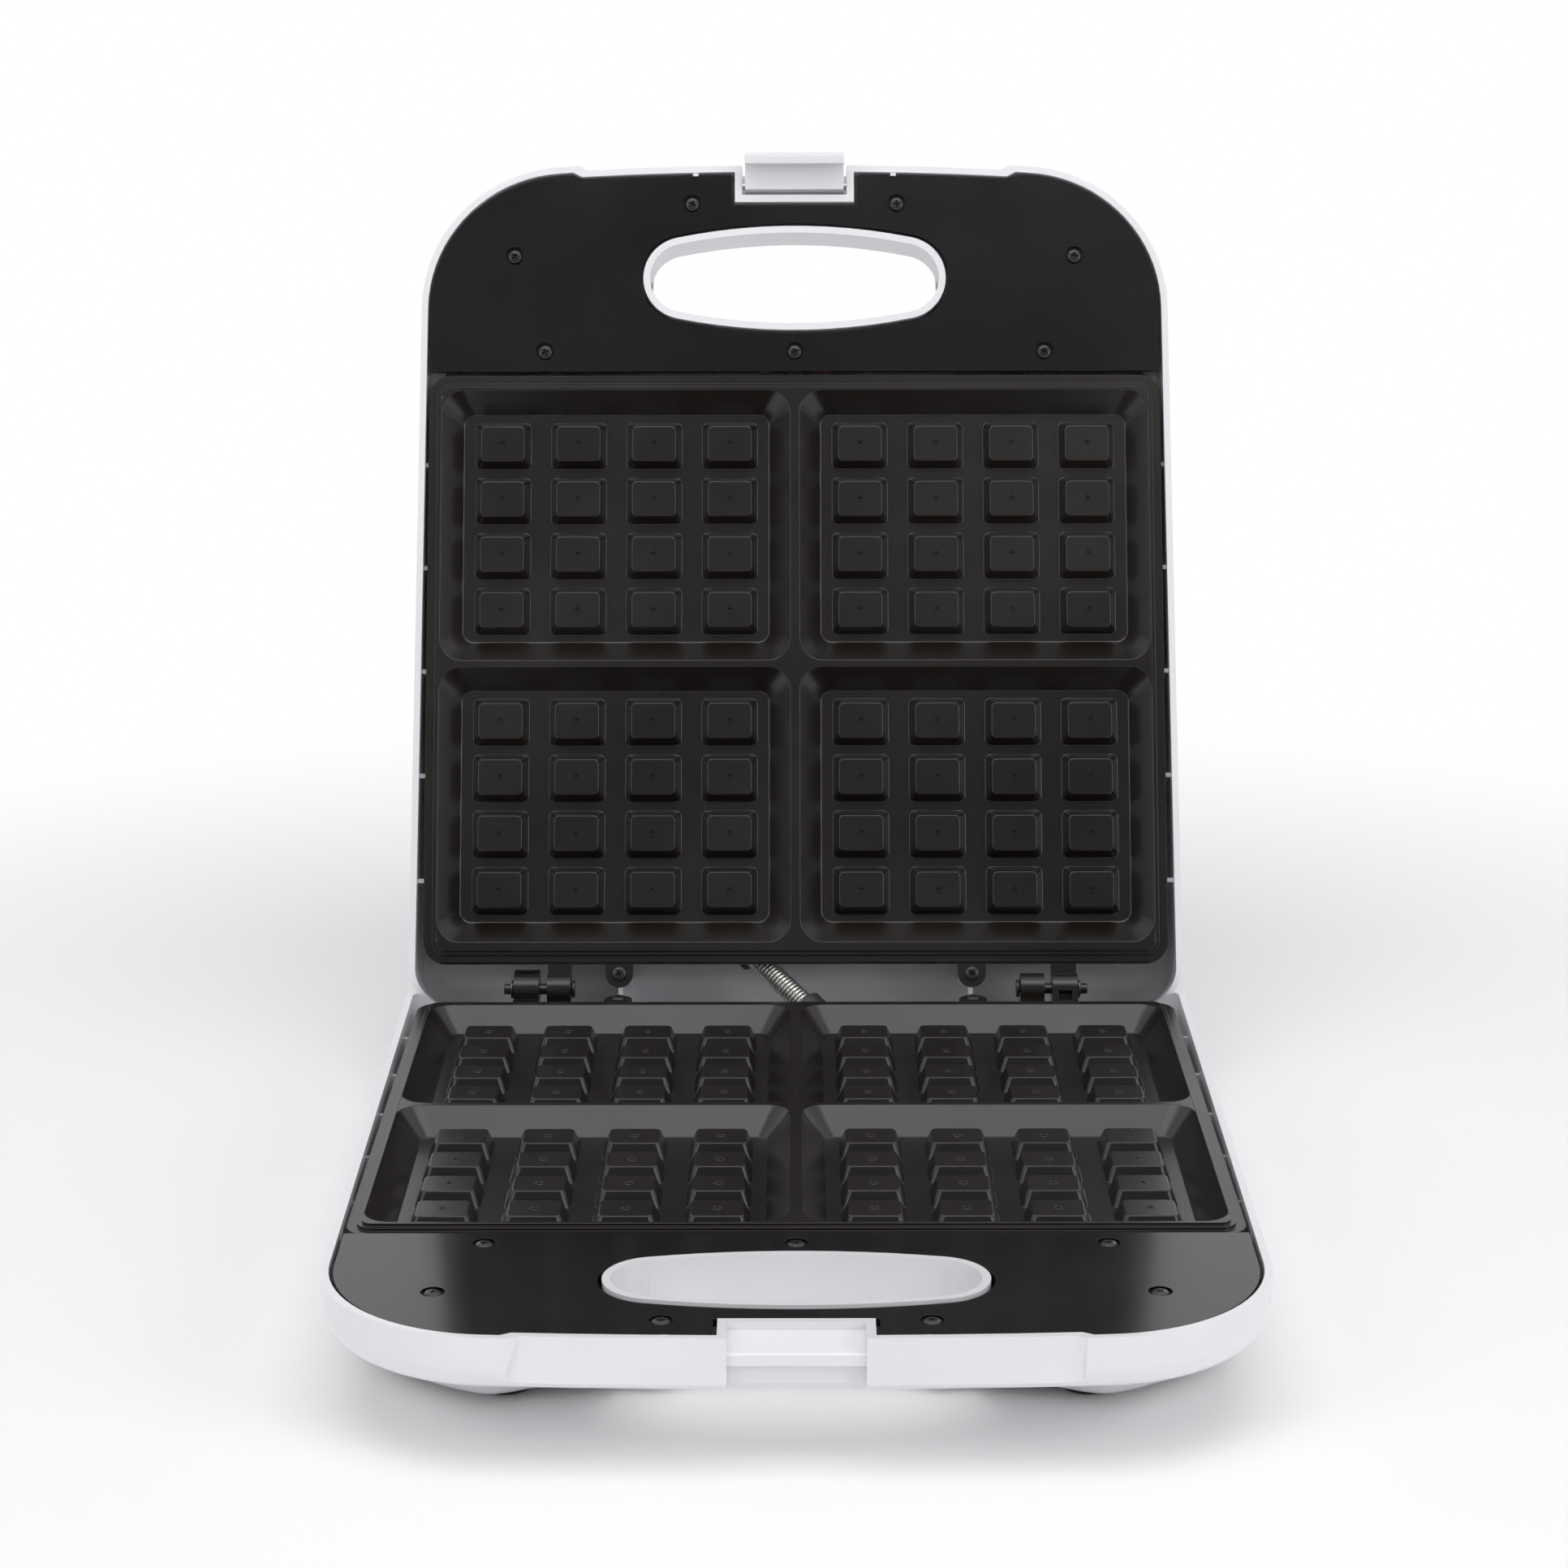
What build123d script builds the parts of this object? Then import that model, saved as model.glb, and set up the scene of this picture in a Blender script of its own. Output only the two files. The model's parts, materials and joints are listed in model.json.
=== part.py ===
from build123d import *
import math
import os

# All sizes are millimetres. A half of the machine lies in its own frame: the hinge axis is the X axis,
# the parting plane is Z = 0, the front is -Y and the inside of the half is -Z. The lid is the same half
# turned over, then swung back to its stop, as it stands when the machine is open.

# Lid and parting plane
OPEN_ANGLE = 111.5
RIM_GAP = 0.3
STOP_GAP = 0.25
STOP_ROUND = 11.0

# Shell mouldings
FRONT_REACH = 320.6
REAR_REACH = 8.0
FRONT_HALF = 143.2
REAR_HALF = 145.9
FRONT_BOW = 6.2
FRONT_CORNER_R = 56.0
REAR_CORNER_R = 16.0
WALL = 2.4
BODY_DEPTH = 42.0
GRIP_DEPTH = 18.5
BELLY_FRONT = 282.0
BELLY_MIDDLE = 253.0
BELLY_CORNER_R = 70.0
BELLY_EDGE_R = 11.5
LOBE_R = 35.0
LEAST_STRAIGHT = 0.5
EDGE_R = 9.0
GRIP_HALF = 81.5
GRIP_STEP = 1.8

# Grip opening, a four-centred oval
OVAL_Y = -274.2
OVAL_HALF_LENGTH = 58.3
OVAL_HALF_WIDTH = 20.5
OVAL_END_R = 16.2
OVAL_WALL = 2.6

# Latch notch and catch
NOTCH_HALF = 20.2
NOTCH_WALL = 2.8
NOTCH_BACK = 307.1
NOTCH_DEPTH = 14.6
CATCH_TOP = 2.5
CATCH_FRONT = 317.3
CATCH_SLOPE = 2.7
LIP_HEIGHT = 3.3
LIP_OVERHANG = 2.8

# Latch
LATCH_SIDE_GAP = 1.2
LATCH_PIVOT_Y = -312.0
LATCH_PIVOT_Z = -6.0
LATCH_EYE_R = 3.4
LATCH_GAP = 0.5
LATCH_ARM = 2.4
LATCH_NOSE = 2.0
LATCH_TIP = 1.0
LATCH_PIN_R = 1.2
PIN_FIT = 0.05

# Baking plates
PLATE_GAP = 0.2
PLATE_REAR = -9.5
PLATE_FRONT = -236.3
PLATE_CORNER_R = 8.5
FLANGE_WIDTH = 3.3
FLANGE_TOP = -2.2
FLANGE_THICK = 2.6
STEP_WIDTH = 1.5
STEP_TOP = -1.2
CREST_TOP = -0.25
CAVITY_INNER_X = 1.8
CAVITY_SIDE = 5.1
CAVITY_REAR = -17.7
CAVITY_LENGTH = 104.9
CAVITY_LAND = 2.6
CAVITY_SLOPE = 8.0
CAVITY_DEPTH = 8.85
CAVITY_RIM_R = 8.5
CAVITY_FLOOR_R = 4.5
CASTING_WALL = 2.6
BLOCK_LENGTH = 20.9
BLOCK_WIDTH = 17.7
BLOCK_SLOPE = 2.15
BLOCK_HEIGHT = 5.3
BLOCK_BEVEL = 1.5
BLOCK_MARGIN_X = 4.77
BLOCK_MARGIN_Y = 3.27
BLOCK_SUNK = 0.5
BLOCKS = 4

# Hinge
LUG_R = 5.8
PIN_R = 2.0
PIN_END = 109.6
PIN_HEAD_R = 3.3
PIN_HEAD = 1.2
PIN_GROOVE = 0.6
OUTER_LUG_FROM = 96.3
OUTER_LUG_TO = 105.8
INNER_LUG_FROM = 84.5
INNER_LUG_TO = 93.3
LUG_WINDOW = 5.0
CLIP_R = 3.4
CLIP_THICK = 0.8
SIDE_PLAY = 0.4

# Screws
TAB_X = 66.5
TAB_Y = -5.9
TAB_R = 5.2
SHANK_R = 1.45
SHANK_LENGTH = 9.0
HOLE_PLAY = 0.1
HEAD_R = 2.75
HEAD_THICK = 1.5
BOSS_R = 4.2
RECESS_R = 3.65
RECESS_DEPTH = 1.4

# Front panel
PANEL_TOP = -1.0
PANEL_THICK = 2.6
PANEL_GAP = 1.3
PANEL_SCREWS = ((39.5, -303.7), (108.0, -283.0), (96.0, -245.3))
PANEL_CENTRE_SCREW_Y = -245.3

# Side ribs that carry the plate flange
RIB_FIRST_Y = -41.4
RIB_PITCH = 40.1
RIBS = 5
RIB_THICK = 1.6
RIB_LAP = 4.0
SEAT_GAP = 0.1

# Heating
ELEMENT_R = 3.3
ELEMENT_X = 98.0
ELEMENT_REAR = -52.0
ELEMENT_FRONT = -205.0
ELEMENT_BEND = 22.0
TERMINAL_X = 30.0
TERMINAL_R = 1.6
TERMINAL_LENGTH = 14.0
TRAY_HALF = 124.0
TRAY_REAR = -26.0
TRAY_FRONT = -222.0
TRAY_DEPTH = 9.5
TRAY_SHEET = 0.8
TRAY_R = 14.0
STUD_R = 2.0
STUD_Y = (-72.0, -172.0)
NUT_ACROSS = 7.0
NUT_THICK = 3.2
CONTROL_Y = -123.9
CONTROL_R = 8.0
CONTROL_HEIGHT = 9.0
CONTROL_WINDOW = 2.5
BLADE_THICK = 0.8
BLADE_WIDTH = 6.3
BLADE_LENGTH = 7.0

# Feet
FOOT_X = 90.0
FOOT_FRONT_Y = -250.0
FOOT_REAR_Y = -22.0
FOOT_R = 11.0
FOOT_BOSS = 1.5
PAD_R = 9.6
PAD_THICK = 2.0
PAD_PLUG_R = 3.0
PAD_PLUG = 1.2

# Wire conduit, a close-wound steel spring, given by its ends when the lid is open
CONDUIT_BASE = (7.2, -3.0, -8.85)
CONDUIT_LID = (-18.7, 19.1, 9.7)
CONDUIT_R = 3.9
WIRE_R = 0.45
WIRE_SIDES = 6
CONDUIT_PITCH = 1.42
CLAMP_LENGTH = 5.0
CLAMP_WALL = 1.8

# Supply side of the base
GLAND_INSET = 50.9
GLAND_Z = -22.2
GLAND_R = 6.0
GLAND_FLANGE_R = 8.3
GLAND_FLANGE = 2.0
GLAND_BORE_R = 3.3
BLOCK_TERMINAL_X = 34.0
BLOCK_TERMINAL = (30.0, 13.0, 12.0)
POLE_PITCH = 9.0
POLE_R = 2.4

# Indicator lamps in the lid
LAMP_X = 11.0
LAMP_Y = -232.0
LENS_R = 4.0
LENS_FLANGE_R = 5.6
LENS_FLANGE = 1.2
LENS_PROUD = 0.8
NEON_R = 2.5
NEON_LENGTH = 12.0
HOLDER = (46.0, 12.0, 4.0)
HOLDER_POST_R = 2.0

# Values that follow from the sizes above
PLATE_HALF = FRONT_HALF - WALL - PLATE_GAP
CAVITY_OUTER_X = PLATE_HALF - CAVITY_SIDE
CAVITY_WIDTH = CAVITY_OUTER_X - CAVITY_INNER_X
BLOCK_PITCH_X = (CAVITY_WIDTH - 2 * CAVITY_SLOPE - 2 * BLOCK_MARGIN_X - BLOCK_LENGTH) / (BLOCKS - 1)
BLOCK_PITCH_Y = (CAVITY_LENGTH - 2 * CAVITY_SLOPE - 2 * BLOCK_MARGIN_Y - BLOCK_WIDTH) / (BLOCKS - 1)
GLAND_X = REAR_HALF - GLAND_INSET
FLANGE_UNDER = FLANGE_TOP - FLANGE_THICK
CAVITY_FLOOR = CREST_TOP - CAVITY_DEPTH
CASTING_UNDER = CAVITY_FLOOR - CASTING_WALL
SHELL_FLOOR = WALL - BODY_DEPTH
PANEL_UNDER = PANEL_TOP - PANEL_THICK
REAR_FACE = REAR_REACH - WALL
ELEMENT_Z = CASTING_UNDER - ELEMENT_R
TRAY_FLOOR = CASTING_UNDER - TRAY_DEPTH
STEEP = math.radians(OPEN_ANGLE / 2)
FAR = 400.0


def place_lid(shape: Compound) -> Compound:
    """Turn a half over and swing it open to the stop."""
    return shape.rotate(Axis.Y, 180).rotate(Axis.X, -OPEN_ANGLE)


def box(x0: float, x1: float, y0: float, y1: float, z0: float, z1: float) -> Part:
    """A block between two opposite corners."""
    middle = ((x0 + x1) / 2, (y0 + y1) / 2, (z0 + z1) / 2)
    return Pos(*middle) * Box(abs(x1 - x0), abs(y1 - y0), abs(z1 - z0))


def disc(x: float, y: float, z0: float, z1: float, radius: float) -> Part:
    """An upright round bar between two heights."""
    return Pos(x, y, (z0 + z1) / 2) * Cylinder(radius, abs(z1 - z0))


def bar(x0: float, x1: float, y: float, z: float, radius: float) -> Part:
    """A round bar along X."""
    return Pos((x0 + x1) / 2, y, z) * Rot(0, 90, 0) * Cylinder(radius, abs(x1 - x0))


def prism(points: list, half: float) -> Part:
    """A side profile of (y, z) points, drawn out to both sides."""
    face = make_face(Polyline(*points, close=True))
    return extrude(Plane.YZ * face, amount=half, both=True)


def rounded(width: float, length: float, radius: float) -> Sketch:
    """A rounded rectangle about the origin."""
    return RectangleRounded(width, length, radius)


# Shell forms

def plan_outline() -> Face:
    """Plan of a half: sides that splay to the rear, a bowed front and large front corners."""
    front = -FRONT_REACH
    shoulder = front + FRONT_BOW
    edges = [
        ThreePointArc((-FRONT_HALF, shoulder), (0, front), (FRONT_HALF, shoulder)),
        Line((FRONT_HALF, shoulder), (REAR_HALF, REAR_REACH)),
        Line((REAR_HALF, REAR_REACH), (-REAR_HALF, REAR_REACH)),
        Line((-REAR_HALF, REAR_REACH), (-FRONT_HALF, shoulder)),
    ]
    face = make_face(Wire(edges))
    face = fillet(face.vertices().sort_by(Axis.Y)[:2], FRONT_CORNER_R)
    return fillet(face.vertices().sort_by(Axis.Y)[-2:], REAR_CORNER_R)


def belly_plan() -> Face:
    """Plan of the deep body: round lobes over the front feet and a front drawn back behind the grip."""
    taper = (REAR_HALF - FRONT_HALF) / (REAR_REACH + FRONT_REACH - FRONT_BOW)
    half = FRONT_HALF + taper * (FRONT_REACH - FRONT_BOW - BELLY_FRONT)
    run = math.sqrt(LOBE_R ** 2 - (LOBE_R - (BELLY_FRONT - BELLY_MIDDLE) / 2) ** 2)
    corner_run = BELLY_CORNER_R * (math.hypot(1, taper) - taper)
    lobe = half - max(BELLY_CORNER_R, corner_run + LEAST_STRAIGHT)
    turn_y = -(BELLY_FRONT + BELLY_MIDDLE) / 2
    inner = lobe - 2 * run
    edges = [Line((-inner, -BELLY_MIDDLE), (inner, -BELLY_MIDDLE))]
    for side in (-1, 1):
        turn = Vector(side * (lobe - run), turn_y)
        edges += [
            Edge.make_tangent_arc(Vector(side * inner, -BELLY_MIDDLE), Vector(side, 0), turn),
            Edge.make_tangent_arc(Vector(side * lobe, -BELLY_FRONT), Vector(-side, 0), turn),
            Line((side * lobe, -BELLY_FRONT), (side * half, -BELLY_FRONT)),
            Line((side * half, -BELLY_FRONT), (side * REAR_HALF, REAR_REACH)),
        ]
    edges.append(Line((REAR_HALF, REAR_REACH), (-REAR_HALF, REAR_REACH)))
    face = make_face(Wire(edges))
    corners = face.vertices().sort_by(Axis.X)
    face = fillet([corner for corner in corners[:2] + corners[-2:] if corner.Y < 0], BELLY_CORNER_R)
    return fillet(face.vertices().sort_by(Axis.Y)[-2:], REAR_CORNER_R)


def level(plan: Face, depth: float, inset: float, edge: float) -> Solid:
    """One depth of a half, drawn in by an inset on every side and rounded along its lower edge."""
    if inset:
        plan = offset(plan, amount=-inset, kind=Kind.INTERSECTION)
    form = extrude(plan, amount=depth - inset, dir=(0, 0, -1)).solid()
    return fillet(form.faces().sort_by(Axis.Z)[0].edges(), edge - inset)


def body_form(inset: float) -> Part:
    """The body of a half: the thin level with the grip and the deep level behind it."""
    grip = level(plan_outline(), GRIP_DEPTH, inset, EDGE_R)
    return grip + level(belly_plan(), BODY_DEPTH, inset, BELLY_EDGE_R)


def grip_relief(extra: float) -> Part:
    """What the stepped-in grip takes off the front, or off the hollow behind it."""
    half = GRIP_HALF + extra
    front = GRIP_STEP + extra - FRONT_REACH
    side = front + FRONT_BOW * (half / FRONT_HALF) ** 2
    edges = [
        ThreePointArc((-half, side), (0, front), (half, side)),
        Line((half, side), (half, -FAR)),
        Line((half, -FAR), (-half, -FAR)),
        Line((-half, -FAR), (-half, side)),
    ]
    return extrude(make_face(Wire(edges)), amount=BODY_DEPTH, both=True)


def oval(shrink: float) -> Sketch:
    """The grip opening's four-centred oval, offset inwards by a distance."""
    a = OVAL_HALF_LENGTH - shrink
    b = OVAL_HALF_WIDTH - shrink
    r = OVAL_END_R - shrink
    big = ((a - r) ** 2 + b ** 2 - r ** 2) / (2 * (b - r))
    turn = math.atan2(a - r, big - b)
    x = a - r + r * math.sin(turn)
    y = r * math.cos(turn)
    edges = [
        ThreePointArc((-x, y), (0, b), (x, y)),
        ThreePointArc((x, y), (a, 0), (x, -y)),
        ThreePointArc((x, -y), (0, -b), (-x, -y)),
        ThreePointArc((-x, -y), (-a, 0), (-x, y)),
    ]
    return Pos(0, OVAL_Y) * make_face(Wire(edges))


def stop_relief() -> Part:
    """What is cut from the rear so that both halves meet face to face at the open stop."""
    across = STOP_GAP / math.sin(STEEP)
    far_y = FAR * math.cos(STEEP) - across
    far_z = -FAR * math.sin(STEEP)
    slope = FilletPolyline((-FAR, -RIM_GAP), (-across, -RIM_GAP), (far_y, far_z), radius=STOP_ROUND)
    back = Polyline((far_y, far_z), (FAR, far_z), (FAR, FAR), (-FAR, FAR), (-FAR, -RIM_GAP))
    face = make_face(Wire([*slope.edges(), *back.edges()]))
    return extrude(Plane.YZ * face, amount=FAR, both=True)


def panel_screw_places() -> list:
    """The seven places where the front panel is screwed down."""
    places = [(0.0, PANEL_CENTRE_SCREW_Y)]
    for x, y in PANEL_SCREWS:
        places += [(x, y), (-x, y)]
    return places


def notch_housing() -> Part:
    """The walls round the latch notch, before the notch is cut."""
    half = NOTCH_HALF + NOTCH_WALL
    return box(-half, half, -FAR, NOTCH_WALL - NOTCH_BACK, -BODY_DEPTH, 0)


def side_ribs() -> list:
    """Ribs between the side walls and the plate, whose tops carry the plate's flange."""
    ribs = []
    inner = PLATE_HALF - RIB_LAP
    for index in range(RIBS):
        y = RIB_FIRST_Y - index * RIB_PITCH
        for side in (-1, 1):
            ribs.append(box(side * inner, side * FAR, y - RIB_THICK / 2, y + RIB_THICK / 2,
                            -BODY_DEPTH, FLANGE_UNDER - SEAT_GAP))
    return ribs


def screw_bosses() -> list:
    """Bosses under the panel screws and under the plate's rear tabs."""
    bosses = []
    for x, y in panel_screw_places():
        bosses.append(disc(x, y, -BODY_DEPTH, PANEL_UNDER - SEAT_GAP, BOSS_R))
    for side in (-1, 1):
        bosses.append(disc(side * TAB_X, TAB_Y, -BODY_DEPTH, FLANGE_UNDER - SEAT_GAP, BOSS_R))
        web = box(side * TAB_X - RIB_THICK / 2, side * TAB_X + RIB_THICK / 2, TAB_Y, FAR,
                  -BODY_DEPTH, FLANGE_UNDER - BOSS_R - BOSS_R)
        bosses.append(web)
    return bosses


def shell_half(extra_bosses: list, notch_floor: float) -> Part:
    """The moulding that both halves share, open at the parting plane."""
    outer = body_form(0) - grip_relief(0)
    hollow = body_form(WALL) - grip_relief(WALL)
    hollow = hollow - [notch_housing(), extrude(oval(0), amount=FAR, dir=(0, 0, -1))]
    hollow = hollow - side_ribs() - screw_bosses() - extra_bosses
    shell = outer - hollow
    cuts = [extrude(oval(OVAL_WALL), amount=FAR, both=True), stop_relief()]
    cuts.append(box(-NOTCH_HALF, NOTCH_HALF, -FAR, -NOTCH_BACK, notch_floor, FAR))
    for x, y in panel_screw_places():
        top = PANEL_UNDER - SEAT_GAP
        cuts.append(disc(x, y, top - SHANK_LENGTH, top + 1, SHANK_R + HOLE_PLAY))
    for side in (-1, 1):
        top = FLANGE_UNDER - SEAT_GAP
        cuts.append(disc(side * TAB_X, TAB_Y, top - SHANK_LENGTH, top + 1, SHANK_R + HOLE_PLAY))
    return shell - cuts


def foot_places() -> list:
    """The four feet."""
    return [(side * FOOT_X, y) for side in (-1, 1) for y in (FOOT_FRONT_Y, FOOT_REAR_Y)]


def catch_block() -> Part:
    """The sloped ledge that the latch rides over, its lip and the recess under the lip."""
    ledge = -CATCH_TOP - CATCH_SLOPE
    lip = ledge - 1 - LIP_HEIGHT
    recess = LIP_OVERHANG - CATCH_FRONT
    points = [
        (1 - NOTCH_BACK, -CATCH_TOP),
        (1 - CATCH_FRONT, ledge),
        (-CATCH_FRONT, ledge - 1),
        (-CATCH_FRONT, lip),
        (recess, lip),
        (recess, 2.5 - GRIP_DEPTH),
        (recess + 1.5, 1 - GRIP_DEPTH),
        (1 - NOTCH_BACK, 1 - GRIP_DEPTH),
    ]
    return prism(points, NOTCH_HALF)


def conduit_axis() -> tuple:
    """Ends and direction of the conduit, with the lid open."""
    start = Vector(*CONDUIT_BASE)
    end = Vector(*CONDUIT_LID)
    return start, end, (end - start).normalized()


def collar(at: Vector, along: Vector) -> Part:
    """A clamp collar round one end of the conduit."""
    ring = Cylinder(CONDUIT_R + WIRE_R + SEAT_GAP + CLAMP_WALL, CLAMP_LENGTH)
    ring -= Cylinder(CONDUIT_R + WIRE_R + SEAT_GAP, 2 * CLAMP_LENGTH)
    return Plane(origin=at + along * (CLAMP_LENGTH / 2), z_dir=along) * ring


def lower_shell() -> Part:
    """Base moulding with foot bosses, catch, gland hole and conduit post."""
    start = conduit_axis()[0]
    post = box(start.X - 5, start.X + 5, start.Y - 4, start.Y + 4, -BODY_DEPTH, start.Z - CONDUIT_R - 4)
    shell = shell_half([post], -FAR) + catch_block()
    for x, y in foot_places():
        shell += disc(x, y, -BODY_DEPTH - FOOT_BOSS, 1 - BODY_DEPTH, FOOT_R)
        shell -= disc(x, y, -BODY_DEPTH - FOOT_BOSS - 1, PAD_PLUG - BODY_DEPTH - FOOT_BOSS, PAD_PLUG_R + HOLE_PLAY)
    gland = Pos(GLAND_X, REAR_REACH, GLAND_Z) * Rot(90, 0, 0) * Cylinder(GLAND_R + HOLE_PLAY, 4 * WALL)
    return shell - gland


def upper_shell() -> Part:
    """Lid moulding with the lamp windows and the conduit post."""
    windows = [disc(side * LAMP_X, LAMP_Y, -BODY_DEPTH - 1, SHELL_FLOOR + 1, LENS_R + HOLE_PLAY)
               for side in (-1, 1)]
    posts = [disc(side * holder_post_x(), LAMP_Y, -BODY_DEPTH, lens_back() - SEAT_GAP, HOLDER_POST_R)
             for side in (-1, 1)]
    return shell_half(posts, -NOTCH_DEPTH) - windows - latch_bar(LATCH_PIN_R + PIN_FIT)


# Front panels

def front_panel() -> Part:
    """Black cover of the grip area, cut round the notch housing and the oval."""
    plan = offset(plan_outline(), amount=-(WALL + PANEL_GAP), kind=Kind.INTERSECTION)
    panel = Pos(0, 0, PANEL_UNDER) * extrude(plan, amount=PANEL_THICK)
    panel -= grip_relief(WALL + PANEL_GAP)
    panel -= box(-FAR, FAR, PLATE_FRONT - PANEL_GAP, FAR, -FAR, FAR)
    half = NOTCH_HALF + NOTCH_WALL + PANEL_GAP
    panel -= box(-half, half, -FAR, NOTCH_WALL + PANEL_GAP - NOTCH_BACK, -FAR, FAR)
    panel -= extrude(oval(-PANEL_GAP), amount=FAR, both=True)
    for x, y in panel_screw_places():
        panel -= disc(x, y, PANEL_TOP - RECESS_DEPTH, FAR, RECESS_R)
        panel -= disc(x, y, -FAR, FAR, SHANK_R + 2 * HOLE_PLAY)
    return panel


def screw(x: float, y: float, seat: float) -> Part:
    """A pan-head screw whose head rests on a seat."""
    head = disc(x, y, seat, seat + HEAD_THICK, HEAD_R)
    head = chamfer(head.edges().sort_by(Axis.Z)[-1:], HEAD_THICK / 3)
    return head + disc(x, y, seat - SHANK_LENGTH, seat, SHANK_R)


def panel_screws() -> list:
    """The seven screws of a panel."""
    seat = PANEL_TOP - RECESS_DEPTH
    return [screw(x, y, seat) for x, y in panel_screw_places()]


def plate_screws() -> list:
    """The two screws through the plate's rear tabs."""
    return [screw(side * TAB_X, TAB_Y, FLANGE_TOP) for side in (-1, 1)]


# Baking plate

def dish(place: tuple, low: tuple, high: tuple) -> Part:
    """Tapered form with round corners; low and high are (z, width, length, radius)."""
    faces = [Pos(*place, z) * rounded(width, length, radius) for z, width, length, radius in (low, high)]
    return loft(faces, ruled=True)


def block(place: tuple, low: tuple, high: tuple) -> Part:
    """Tapered block with bevelled corners; low and high are (z, width, length, bevel)."""
    faces = []
    for z, width, length, bevel in (low, high):
        face = Rectangle(width, length)
        faces.append(Pos(*place, z) * chamfer(face.vertices(), bevel))
    return loft(faces, ruled=True)


def cavity_places() -> list:
    """Centres of the four cavities of a plate."""
    x = (CAVITY_INNER_X + CAVITY_OUTER_X) / 2
    rear = CAVITY_REAR - CAVITY_LENGTH / 2
    front = rear - CAVITY_LENGTH - CAVITY_LAND
    return [(side * x, y) for side in (-1, 1) for y in (rear, front)]


def cavity(place: tuple, grow: float, top: float, floor: float) -> Part:
    """A dished cavity, or the outside of its tub when it is grown by a wall."""
    width = CAVITY_WIDTH + 2 * grow
    length = CAVITY_LENGTH + 2 * grow
    slope = CAVITY_SLOPE * (top - floor) / CAVITY_DEPTH
    high = (top, width, length, CAVITY_RIM_R)
    low = (floor, width - 2 * slope, length - 2 * slope, CAVITY_FLOOR_R)
    return dish(place, low, high)


def blocks(place: tuple) -> list:
    """The raised blocks that mark a cavity's squares."""
    solids = []
    spread = 2 * BLOCK_SLOPE * (BLOCK_HEIGHT + BLOCK_SUNK) / BLOCK_HEIGHT
    top_x = BLOCK_LENGTH - 2 * BLOCK_SLOPE
    top_y = BLOCK_WIDTH - 2 * BLOCK_SLOPE
    for column in range(BLOCKS):
        for row in range(BLOCKS):
            x = place[0] + (column - (BLOCKS - 1) / 2) * BLOCK_PITCH_X
            y = place[1] + (row - (BLOCKS - 1) / 2) * BLOCK_PITCH_Y
            low = (CAVITY_FLOOR - BLOCK_SUNK, top_x + spread, top_y + spread, BLOCK_BEVEL)
            high = (CAVITY_FLOOR + BLOCK_HEIGHT, top_x, top_y, BLOCK_BEVEL)
            solids.append(block((x, y), low, high))
    return solids


def deck(inset: float, z0: float, z1: float) -> Part:
    """One level of the plate's stepped edge."""
    width = 2 * (PLATE_HALF - inset)
    length = PLATE_REAR - PLATE_FRONT - 2 * inset
    middle = (PLATE_REAR + PLATE_FRONT) / 2
    face = Pos(0, middle, z0) * rounded(width, length, PLATE_CORNER_R - inset / 2)
    return extrude(face, amount=z1 - z0)


def hinge_lugs() -> list:
    """Inner barrel on one side, outer lug with its window on the other side."""
    barrel = bar(INNER_LUG_FROM, INNER_LUG_TO, 0, 0, LUG_R)
    barrel += box(INNER_LUG_FROM, INNER_LUG_TO, PLATE_REAR - 1, -LUG_R / 2, FLANGE_UNDER, FLANGE_TOP)
    lug = bar(-OUTER_LUG_TO, -OUTER_LUG_FROM, 0, 0, LUG_R)
    lug += box(-OUTER_LUG_TO, -OUTER_LUG_FROM, 0, LUG_R, 0, LUG_R)
    lug += box(-OUTER_LUG_TO, -OUTER_LUG_FROM, PLATE_REAR - 1, -LUG_R / 2, FLANGE_UNDER, FLANGE_TOP)
    middle = -(OUTER_LUG_FROM + OUTER_LUG_TO) / 2
    lug -= box(middle - LUG_WINDOW / 2, middle + LUG_WINDOW / 2, PIN_R / 2, LUG_R - 1.2, PIN_R / 2, FAR)
    return [barrel, lug]


def waffle_plate() -> Part:
    """Cast baking plate: stepped edge, four dished cavities with blocks, hinge lugs and rear tabs."""
    plate = deck(0, FLANGE_UNDER, FLANGE_TOP)
    plate += deck(FLANGE_WIDTH, FLANGE_TOP, STEP_TOP)
    plate += deck(FLANGE_WIDTH + STEP_WIDTH, STEP_TOP, CREST_TOP)
    tubs = [cavity(place, CASTING_WALL / 2, FLANGE_TOP, CASTING_UNDER) for place in cavity_places()]
    plate += tubs
    plate -= [cavity(place, 0, CREST_TOP, CAVITY_FLOOR) for place in cavity_places()]
    for place in cavity_places():
        plate += blocks(place)
    plate += hinge_lugs()
    for side in (-1, 1):
        x = side * TAB_X
        plate += disc(x, TAB_Y, FLANGE_UNDER, FLANGE_TOP, TAB_R)
        plate += box(x - TAB_R, x + TAB_R, PLATE_REAR - 1, TAB_Y, FLANGE_UNDER, FLANGE_TOP)
        plate -= disc(x, TAB_Y, -FAR, FAR, SHANK_R + 2 * HOLE_PLAY)
    plate -= bar(-FAR, FAR, 0, 0, PIN_R + PIN_FIT)
    for y in STUD_Y:
        plate += disc(0, y, TRAY_FLOOR - NUT_THICK - 1, FLANGE_UNDER, STUD_R)
    return plate + disc(0, CONTROL_Y, CASTING_UNDER, FLANGE_UNDER, CONTROL_R + 1)


# Heating parts under a plate

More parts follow.
